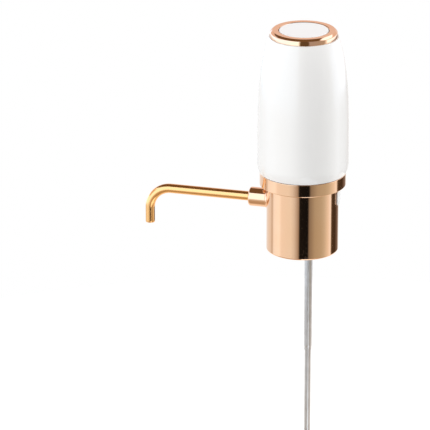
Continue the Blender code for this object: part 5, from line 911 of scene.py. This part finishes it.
class AERATOR_OT_sleeve(bpy.types.Operator):
    """The drawn sleeve: two pierced walls, joined by turned edges, with a flared boss for the spout and the
    port's opening"""
    bl_idname = "aerator.sleeve"
    bl_label = "Sleeve"
    bl_options = {"REGISTER", "UNDO"}

    def execute(self, context):
        size = context.scene.aerator_sizes
        radius, bottom, top = high("sleeve")[0], low("sleeve")[2], high("sleeve")[2]
        level, port_level = middle_of("spout_ferrule")[2], middle_of("port_cover")[2]
        bore, shelf = radius - size.sleeve_wall, top - size.sleeve_wall
        around, edge, opening = size.segments, size.sleeve_edge, size.opening_radius
        rim, small, shank = 0.3 * MM, 0.2 * MM, 3 * MM
        boss_columns, port_columns, port_margin = 12, 6, 0.7 * MM
        port_half = np.array([size.port_width, size.port_height]) / 2
        port_block = port_half[1] + port_margin

        def walls(wall_radius, low_level, high_level, hole):
            block = wall_radius * math.sin(TURN * boss_columns / around)
            narrow = wall_radius * math.sin(TURN * port_columns / around)
            stops = [low_level, low_level + SUPPORT, level - block, port_level - port_block, level + block,
                     port_level + port_block, high_level - SUPPORT, high_level]
            spans = zip(stops, stops[1:], (2, 20, 8, 12, 3, 2, 2))
            levels = np.unique(np.concatenate([np.linspace(*span) for span in spans]))
            return pierced_wall(wall_radius, levels, around, [
                (-1, boss_columns, level - block, level + block, round_hole(level, hole)),
                (1, port_columns, port_level - port_block, port_level + port_block,
                 slot_hole(port_level, np.array([narrow, port_block]), port_half)),
            ])

        flared = size.boss_radius + size.boss_flare
        outer_surfaces, outer_rims = walls(radius, bottom + edge, top - rim, flared)
        inner_surfaces, inner_rims = walls(bore, bottom + small, shelf - small, size.boss_bore)
        upper = rounded([[radius, top - shank], [radius, top], [opening, top], [opening, shelf],
                         [bore, shelf], [bore, shelf - shank]],
                        np.array([0, rim, rim, rim, small, 0]), support=0)[1:-1]
        lower = np.vstack([
            arc_points((bore + small, bottom + small), small, 180, 270, 4),
            arc_points((radius - edge, bottom + edge), edge, 270, 360, 8),
        ])
        edges = [skin(turned_rows(outline, around, start=math.pi / 2)) for outline in (upper, lower)]
        boss = self.boss(size, radius, level, outer_rims[0], inner_rims[0])
        port = np.stack([outer_rims[1], inner_rims[1]])
        piece = make_piece("sleeve_plated", *outer_surfaces, *inner_surfaces, *edges, skin(boss), skin(port))
        place_piece(piece, "barrel", "rose_gold", "sleeve")
        return {"FINISHED"}

    def boss(self, size, radius, level, outer_rim, inner_rim):
        """Rings about the spout's axis: the flare out of the wall, r = R + flare * (1 - sin a) and
        x = wall + (face - wall) * (1 - cos a), then the edge, the face and the edge of the bore."""
        flare, crown, small, margin = size.boss_flare, 0.1 * MM, 0.2 * MM, 0.06 * MM
        face = low("sleeve")[0]
        flat = face + crown
        direction = (outer_rim[:, 1:] - [0, level]) / (size.boss_radius + flare)

        def ring(reach, x):
            return np.column_stack([np.broadcast_to(x, len(direction)), [0, level] + direction * reach])

        rows = []
        for angle in quarter(9):
            reach = size.boss_radius + flare * (1 - math.sin(angle))
            wall = -np.sqrt(radius ** 2 - (direction[:, 0] * reach) ** 2)
            rows.append(ring(reach, wall + (flat - wall) * (1 - math.cos(angle))))
        for angle in quarter(5)[1:]:
            reach = size.boss_radius - crown + crown * math.cos(angle)
            rows.append(ring(reach, flat - crown * math.sin(angle)))
        rows.append(ring(size.boss_radius - crown - margin, face))
        rows.append(ring(size.boss_bore + small + margin, face))
        for angle in quarter(4):
            reach = size.boss_bore + small * (1 - math.sin(angle))
            rows.append(ring(reach, face + small * (1 - math.cos(angle))))
        return np.stack([*rows, inner_rim])


class AERATOR_OT_spout(bpy.types.Operator):
    """The ferrule, turned about the spout's axis, and the bent pipe"""
    bl_idname = "aerator.spout"
    bl_label = "Spout"
    bl_options = {"REGISTER", "UNDO"}

    def execute(self, context):
        size = context.scene.aerator_sizes
        level = middle_of("spout_ferrule")[2]
        self.ferrule(size, level)
        self.pipe(size, level)
        return {"FINISHED"}

    def ferrule(self, size, level):
        """An outline of radii and distances out from the barrel: a nose rounded by a quarter circle, a
        hole round the pipe and a wider bore behind it."""
        seam, nose, fit, clearance = 0.2 * MM, 1.5 * MM, 0.05 * MM, 0.3 * MM
        near, far = -high("spout_ferrule")[0] - seam, -low("spout_ferrule")[0]
        radius, bore, hole = high("spout_ferrule")[1], size.ferrule_bore, size.pipe_radius + fit
        seat = -high("spout_tube")[0] - clearance
        angle = quarter(9)
        curve = np.column_stack([radius - nose + nose * np.sin(angle), far - nose + nose * np.cos(angle)])
        corners = np.vstack([[[hole, far]], curve, [[radius, far - nose - SUPPORT], [radius, near],
                                                    [bore, near], [bore, seat], [hole, seat]]])
        radii = np.zeros(len(corners))
        radii[[0, -3, -2, -1]] = 0.1 * MM
        radii[-4] = 0.15 * MM
        piece = turned_piece("ferrule_plated", rounded(corners, radii), 128, (0, level), axis="x")
        place_piece(piece, "spout", "rose_gold", "spout_ferrule", material="rose_gold_ferrule")

    def pipe(self, size, level):
        """A circle carried out along two straights and a quarter bend, round the rolled lip and back inside.
        In the bend x = X - R sin a and z = Z - R + R cos a."""
        start, outlet = high("spout_tube")[0], low("spout_tube")[2]
        reach = -low("spout_tube")[0] - size.pipe_radius
        bend = size.pipe_bend
        turn_start = bend - reach
        lip = (size.pipe_radius - size.pipe_bore) / 2
        angle = quarter(40)[1:]
        straight = np.column_stack([np.linspace(start, turn_start, 40), np.full(40, level)])
        curve = np.column_stack([turn_start - bend * np.sin(angle), level - bend + bend * np.cos(angle)])
        drop = np.column_stack([np.full(10, -reach), np.linspace(level - bend, outlet + lip, 11)[1:]])
        line = np.vstack([straight, curve, drop])
        outwards, downwards = np.array([[-1.0, 0.0]]), np.array([[0.0, -1.0]])
        directions = np.vstack([
            np.repeat(outwards, len(straight), 0),
            np.column_stack([-np.cos(angle), -np.sin(angle)]),
            np.repeat(downwards, len(drop), 0),
        ])
        roll = np.linspace(0, math.pi, 9)[1:-1]
        rim = line[-1] + lip * np.sin(roll)[:, None] * downwards
        path = np.vstack([line, rim, line[::-1]])
        directions = np.vstack([directions, np.repeat(downwards, len(rim), 0), directions[::-1]])
        radii = np.concatenate([
            np.full(len(line), size.pipe_radius),
            (size.pipe_radius + size.pipe_bore) / 2 + lip * np.cos(roll),
            np.full(len(line), size.pipe_bore),
        ])

        def in_space(pairs):
            return np.column_stack([pairs[:, 0], np.zeros(len(pairs)), pairs[:, 1]])

        rows, straightened = carried_rows(in_space(path), in_space(directions), radii, 72)
        piece = make_piece("spout_pipe", skin(rows, close=True), merge=False)
        keep_straight(piece, straightened)
        place_piece(piece, "spout", "gold_pipe", "spout_tube")


class AERATOR_OT_port_cover(bpy.types.Operator):
    """The charging port's cover: rounded rectangles, one inside the next, carried from the plug's end to the
    front, on a face that follows the sleeve, x = x0 + (R^2 - y^2)^0.5 - R"""
    bl_idname = "aerator.port_cover"
    bl_label = "Port cover"
    bl_options = {"REGISTER", "UNDO"}

    def execute(self, context):
        gap, edge, plug_edge, margin, joint = 0.12 * MM, 0.35 * MM, 0.25 * MM, 0.05 * MM, 0.1 * MM
        corner_share, widest_corner = 0.8, 1.4 * MM
        radius, plug_end = high("sleeve")[0], low("port_cover")[0]
        back, front = radius + gap, high("port_cover")[0]
        half = (high("port_cover") - low("port_cover"))[1:] / 2
        middle = middle_of("port_cover")[2]
        plug = np.array([1.6, 4.15]) * MM
        sections = [(plug_end, plug - plug[0]), (plug_end, plug - plug[0] / 2)]
        for angle in quarter(5)[::-1]:
            sections.append((plug_end + plug_edge * (1 - math.sin(angle)),
                             plug - plug_edge * (1 - math.cos(angle))))
        sections += [(back - joint, plug), (back, plug + joint), (back, half - edge - margin)]
        for angle in np.linspace(-math.pi / 2, math.pi / 2, 11):
            depth = (back + front) / 2 + (front - back) / 2 * math.sin(angle)
            sections.append((depth, half - edge * (1 - math.cos(angle))))
        for inset in (0.1, 0.35, 0.6, 0.85, 1.0):
            sections.append((front, half - edge - (half[0] - edge) * inset))
        angle = np.linspace(0, TURN, 96, endpoint=False)
        out = np.column_stack([np.cos(angle), np.sin(angle)])
        side = np.sign(np.round(out, 9))
        rows = []
        for depth, extent in sections:
            corner = max(0.0, min(extent[0] * corner_share, widest_corner))
            plane = side * np.maximum(extent - corner, 0) + corner * out
            drop = np.sqrt(radius ** 2 - plane[:, 0] ** 2) - radius
            rows.append(np.column_stack([depth + drop, plane[:, 0], plane[:, 1] + middle]))
        piece = make_piece("port_flap", skin(np.stack(rows)))
        place_piece(piece, "cover", "white_flap", "port_cover")
        return {"FINISHED"}


class AERATOR_OT_suction_tube(bpy.types.Operator):
    """The three sections of the suction tube, each with its flared head and crimped end, and the notched
    foot"""
    bl_idname = "aerator.suction_tube"
    bl_label = "Suction tube"
    bl_options = {"REGISTER", "UNDO"}

    def execute(self, context):
        size = context.scene.aerator_sizes
        place = (4.3 * MM, 0.0)
        sections = (
            ("dip_tube_upper", "suction_upper", "barrel", 2.5 * MM),
            ("dip_tube_middle", "suction_middle", "middle_tube", 2.0 * MM),
            ("dip_tube_lower", "suction_lower", "lower_tube", 1.5 * MM),
        )
        for node, name, body, radius in sections:
            first, last = body == "barrel", body == "lower_tube"
            outline = self.section(node, first, last, radius, place[0], size.tube_wall)
            place_piece(turned_piece(name, outline, 64, place), body, "steel", node)
        self.foot(place)
        return {"FINISHED"}

    def section(self, node, first, last, radius, middle, wall):
        """An outline of radii and levels, from the head's inside over the outside to the crimped end and
        up the inside. The crimp closes on the next section, which is thinner by a fixed step."""
        step, clearance, thicker = 0.5 * MM, 0.04 * MM, 0.12 * MM
        top, end = high(node)[2], low(node)[2]
        head_end, neck = top - 4.0 * MM, top - 4.4 * MM
        crimp_start, crimp_end, crimp_inside = end + 3.0 * MM, end + 2.4 * MM, end + 3.2 * MM
        head = high(node)[0] - middle
        crimp = radius if last else radius - step + clearance + wall
        corners = [[head - wall - (0 if first else thicker), top], [head, top]]
        if not first:
            corners += [[head, head_end], [radius, neck]]
        if not last:
            corners += [[radius, crimp_start], [crimp, crimp_end]]
        corners += [[crimp, end], [crimp - wall, end]]
        if not last:
            corners += [[crimp - wall, crimp_end], [radius - wall, crimp_inside]]
        corners += [[radius - wall, neck]]
        radii = np.full(len(corners), 0.6 * MM)
        radii[:2] = 0.1 * MM
        radii[[number for number, corner in enumerate(corners) if corner[1] == end]] = 0.1 * MM
        return rounded(corners, radii, 4)

    def foot(self, place):
        """The foot turned about the tube's axis. Its underside is raised into a notch across the mouth,
        by the notch's depth times a smooth step of the distance from its line."""
        top, bottom = high("dip_tube_foot")[2], low("dip_tube_foot")[2]
        radius, mouth, hold = high("dip_tube_foot")[1], 1.2 * MM, 1.55 * MM
        seat = low("dip_tube_lower")[2] - 0.3 * MM
        corners = [[hold, top], [radius - 0.3 * MM, top], [radius, top - 2.6 * MM], [radius, bottom],
                   [mouth, bottom], [mouth, seat], [hold, seat]]
        outline = rounded(corners, np.array([0.15, 0.4, 0.6, 0.35, 0.2, 0.05, 0.05]) * MM, 5)
        half_width, slope, depth, fade = 0.95 * MM, 0.4 * MM, 1.0 * MM, 2.0 * MM
        rows = turned_rows(outline, 160, place)
        notch = np.clip((half_width - np.abs(rows[..., 1])) / slope, 0, 1)
        notch = depth * notch * notch * (3 - 2 * notch)
        rows[..., 2] += notch * np.clip((bottom + fade - rows[..., 2]) / fade, 0, 1)
        piece = make_piece("suction_foot", skin(rows, close=True))
        place_piece(piece, "lower_tube", "silicone", "dip_tube_foot")


class AERATOR_OT_stage(bpy.types.Operator):
    """The pale table, the soft lamps, the white room with its dark flags and the camera"""
    bl_idname = "aerator.stage"
    bl_label = "Stage"
    bl_options = {"REGISTER", "UNDO"}

    def execute(self, context):
        self.table()
        self.room()
        self.lamp("key_lamp", -58, 28, 1.7, 0.9, 0.50)
        self.lamp("front_lamp", 8, 35, 1.8, 0.9, 0.115)
        self.lamp("rim_lamp", 104, 20, 1.6, 0.7, 0.62)
        self.lamp("top_lamp", 0, 84, 1.5, 0.7, 0.075)
        self.camera()
        return {"FINISHED"}

    def table(self):
        """A round table under the object. Polished metal sees it glow in a painted reflection: pale behind
        the object, warm brown in front of it, with a bright painted patch in front on the right."""
        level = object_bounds()[0].z - 0.3 * MM
        reach = np.concatenate([[0], np.linspace(0.02, 0.6, 40)])
        points, faces = skin(turned_rows(np.column_stack([reach, np.full(len(reach), level)]), 96))
        mesh = bpy.data.meshes.new("table_top")
        mesh.from_pydata(points.tolist(), [], faces.tolist())
        floor = bpy.data.objects.new("table_top", mesh)
        bpy.context.scene.collection.objects.link(floor)
        floor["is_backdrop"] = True
        look = finish("table_white")
        mottle = look.noise(look.point(), 30.0, 3.0)
        white = look.mix(mottle, (0.82, 0.82, 0.82), (0.84, 0.84, 0.84))
        diffuse = look.node("ShaderNodeBsdfDiffuse", None, {0: white})
        glow = look.node("ShaderNodeEmission", None,
                         {"Color": (1, 1, 1, 1), "Strength": look.rays("Camera", "Transmission") * 0.32})
        both = look.node("ShaderNodeAddShader", None, {0: diffuse.outputs[0], 1: glow.outputs[0]})
        # Painted reflection: glossy rays see a glow, pale behind the object, warm brown in front of it and a
        # bright patch in front on the right.
        depth = look.along(look.point(), TOWARDS_VIEW)
        across = look.along(look.point(), RIGHT_OF_VIEW)
        front = look.mix(depth.step(0.1, 0.6), (0.55, 0.42, 0.29), (0.72, 0.62, 0.50))
        painted_patch = depth.step(0.06, 0.1) * across.step(-0.03, 0.0) * (1 - across.step(0.15, 0.25))
        near = look.mix(painted_patch, front, (1.7, 1.75, 1.8))
        painted_reflection = look.mix(depth.step(-0.05, 0.08), (1.1, 1.0, 0.88), near)
        in_metal = look.node("ShaderNodeEmission", None, {"Color": painted_reflection, "Strength": 1.0})
        shown = look.node("ShaderNodeMixShader", None,
                          {0: look.rays("Glossy"), 1: both.outputs[0], 2: in_metal.outputs[0]})
        look.node("ShaderNodeOutputMaterial", None, {0: shown.outputs[0]})
        floor.data.materials.append(bpy.data.materials["table_white"])

    def room(self):
        """A white room. Polished metal also sees its flags: bands by azimuth from the camera, low and high,
        a rose belt behind the object, and a dark ceiling that leans towards the camera."""
        world = bpy.data.worlds.new("studio")
        bpy.context.scene.world = world
        world.use_nodes = True
        world.cycles.sampling_method = "NONE"
        look = Shading(world.node_tree)
        ray = look.node("ShaderNodeTexCoord").outputs["Generated"]
        ahead, right = look.along(ray, TOWARDS_VIEW), look.along(ray, RIGHT_OF_VIEW)
        up = look.along(ray, (0, 0, 1))
        azimuth = ahead.math("ARCTAN2", right, ahead) / TURN + 0.5
        # Each band is an azimuth in degrees, turning right from the camera, and the colour there.
        low_bands = [
            (-180, (1.0, 1.0, 1.0)), (-152, (0.95, 0.95, 0.95)), (-122, (0.90, 0.89, 0.88)),
            (-117, (0.72, 0.66, 0.6)), (-111, (0.75, 0.7, 0.65)), (-105, (1.1, 1.15, 1.2)),
            (-80, (1.2, 1.25, 1.3)), (-70, (1.03, 1.03, 1.03)), (-37, (0.97, 0.99, 0.97)),
            (-26, (0.80, 0.80, 0.78)), (-17, (0.55, 0.50, 0.45)), (-12, (0.4, 0.34, 0.28)),
            (-9, (0.012, 0.011, 0.01)), (18, (0.008, 0.008, 0.008)), (22, (0.28, 0.24, 0.19)),
            (41, (0.50, 0.46, 0.36)), (63, (0.57, 0.54, 0.43)), (74, (0.66, 0.64, 0.54)),
            (92, (0.97, 0.92, 0.85)), (101, (1.12, 1.15, 1.2)), (104, (1.0, 0.95, 0.9)),
            (107, (0.16, 0.12, 0.08)), (113, (0.075, 0.048, 0.028)), (132, (0.065, 0.042, 0.024)),
            (140, (0.18, 0.13, 0.1)), (152, (0.2, 0.15, 0.12)), (163, (0.75, 0.7, 0.65)),
            (180, (1.0, 1.0, 1.0)),
        ]
        high_bands = [
            (-180, ROSE_WALL), (-166, ROSE_WALL), (-158, (1.45, 1.9, 2.5)), (-112, (1.45, 1.9, 2.5)),
            (-100, (1.35, 1.7, 2.15)), (-70, (1.35, 1.7, 2.15)), (-50, (1.42, 1.74, 2.1)),
            (-18, (1.45, 1.73, 2.0)), (-14, (0.7, 0.7, 0.6)), (-11, (0.13, 0.085, 0.045)),
            (16, (0.13, 0.085, 0.045)), (20, (0.45, 0.40, 0.39)), (50, (0.47, 0.41, 0.36)),
            (73, (0.50, 0.43, 0.36)), (80, (1.0, 0.95, 0.9)), (87, (1.7, 1.82, 2.1)),
            (138, (1.7, 1.82, 2.1)), (148, (1.15, 1.2, 1.3)), (166, ROSE_WALL), (180, ROSE_WALL),
        ]

        def ring_of(bands):
            return look.ramp(azimuth, [((angle + 180) / 360, value) for angle, value in bands])

        raised = up.step(math.sin(math.radians(-16)), math.sin(math.radians(-12)))
        walls = look.mix(raised, ring_of(low_bands), ring_of(high_bands))
        belt = up.step(0.05, 0.12) * (1 - up.step(0.44, 0.50)) * (1 - ahead.step(-0.05, 0.25))
        walls = look.mix(belt, walls, ROSE_WALL)
        # The ceiling stays open where level faces, such as the ring's, mirror it to the camera.
        behind = (-0.97 * TOWARDS_VIEW + 0.26 * RIGHT_OF_VIEW) * math.cos(VIEW_ELEVATION)
        open_patch = look.along(ray, behind + [0, 0, math.sin(VIEW_ELEVATION)]).step(0.88, 0.92)
        ceiling = (up - 0.369 * ahead).step(0.64, 0.69) * (1 - open_patch) * (1 - right.step(0.55, 0.62))
        studio = look.mix(ceiling, walls, (0.18, 0.105, 0.05))
        lit = look.mix(look.rays("Glossy"), (0.5, 0.5, 0.5), studio)
        seen = look.mix(look.rays("Camera", "Transmission"), lit, (1, 1, 1))
        background = look.node("ShaderNodeBackground", None, {0: seen, 1: 1.0})
        look.node("ShaderNodeOutputWorld", None, {0: background.outputs[0]})

    def lamp(self, name, azimuth, elevation, distance, width, level):
        """A square lamp at an azimuth from the camera. A white surface that faces it shows the given level:
        power = level * pi^2 * distance^2."""
        data = bpy.data.lights.new(name, "AREA")
        data.size = width
        data.energy = level * math.pi ** 2 * distance ** 2
        lamp = bpy.data.objects.new(name, data)
        bpy.context.scene.collection.objects.link(lamp)
        turn, rise = math.radians(azimuth), math.radians(elevation)
        level_out = TOWARDS_VIEW * math.cos(turn) + RIGHT_OF_VIEW * math.sin(turn)
        out = level_out * math.cos(rise) + [0, 0, math.sin(rise)]
        aim = Vector((0, 0, 0.04))
        lamp.location = aim + Vector(out) * distance
        lamp.rotation_euler = Vector(-out).to_track_quat("-Z", "Y").to_euler()
        lamp.visible_glossy = False

    def camera(self):
        """A long lens that looks past the barrel, which stands right of the picture's middle."""
        data = bpy.data.cameras.new("camera")
        data.sensor_width = SENSOR
        data.lens = LENS
        data.clip_end = 50.0
        camera = bpy.data.objects.new("camera", data)
        bpy.context.scene.collection.objects.link(camera)
        out = TOWARDS_VIEW * math.cos(VIEW_ELEVATION) + [0, 0, math.sin(VIEW_ELEVATION)]
        target = np.array([0, 0, -0.003])
        sideways = VIEW_DISTANCE * BARREL_SHIFT * SENSOR / (LENS * PICTURE)
        aim = target - RIGHT_OF_VIEW * sideways
        camera.location = Vector(target + out * VIEW_DISTANCE)
        camera.rotation_euler = (Vector(aim) - camera.location).to_track_quat("-Z", "Y").to_euler()
        bpy.context.scene.camera = camera
        bpy.context.scene.view_settings.view_transform = "Standard"


class AERATOR_PT_panel(bpy.types.Panel):
    """Lists the builders and the sizes and colours they use"""
    bl_idname = "AERATOR_PT_panel"
    bl_label = "Wine aerator"
    bl_space_type = "VIEW_3D"
    bl_region_type = "UI"
    bl_category = "Aerator"

    def draw(self, context):
        for builder in BUILDERS:
            self.layout.operator(builder.bl_idname)
        for group in (context.scene.aerator_sizes, context.scene.aerator_colours):
            box = self.layout.box()
            for name in group.__annotations__:
                box.prop(group, name)


BUILDERS = (
    AERATOR_OT_finishes,
    AERATOR_OT_housing,
    AERATOR_OT_top_ring,
    AERATOR_OT_button,
    AERATOR_OT_spring,
    AERATOR_OT_collar,
    AERATOR_OT_sleeve,
    AERATOR_OT_spout,
    AERATOR_OT_port_cover,
    AERATOR_OT_suction_tube,
    AERATOR_OT_stage,
)
CLASSES = (AeratorSizes, AeratorColours, *BUILDERS, AERATOR_PT_panel)


def register():
    for each in CLASSES:
        bpy.utils.register_class(each)
    bpy.types.Scene.aerator_sizes = PointerProperty(type=AeratorSizes)
    bpy.types.Scene.aerator_colours = PointerProperty(type=AeratorColours)


def unregister():
    del bpy.types.Scene.aerator_sizes
    del bpy.types.Scene.aerator_colours
    for each in reversed(CLASSES):
        bpy.utils.unregister_class(each)


def main():
    register()
    bpy.ops.aerator.finishes()
    bpy.ops.aerator.housing()
    bpy.ops.aerator.top_ring()
    bpy.ops.aerator.button()
    bpy.ops.aerator.spring()
    bpy.ops.aerator.collar()
    bpy.ops.aerator.sleeve()
    bpy.ops.aerator.spout()
    bpy.ops.aerator.port_cover()
    bpy.ops.aerator.suction_tube()
    bpy.ops.aerator.stage()


if __name__ == "__main__":
    main()
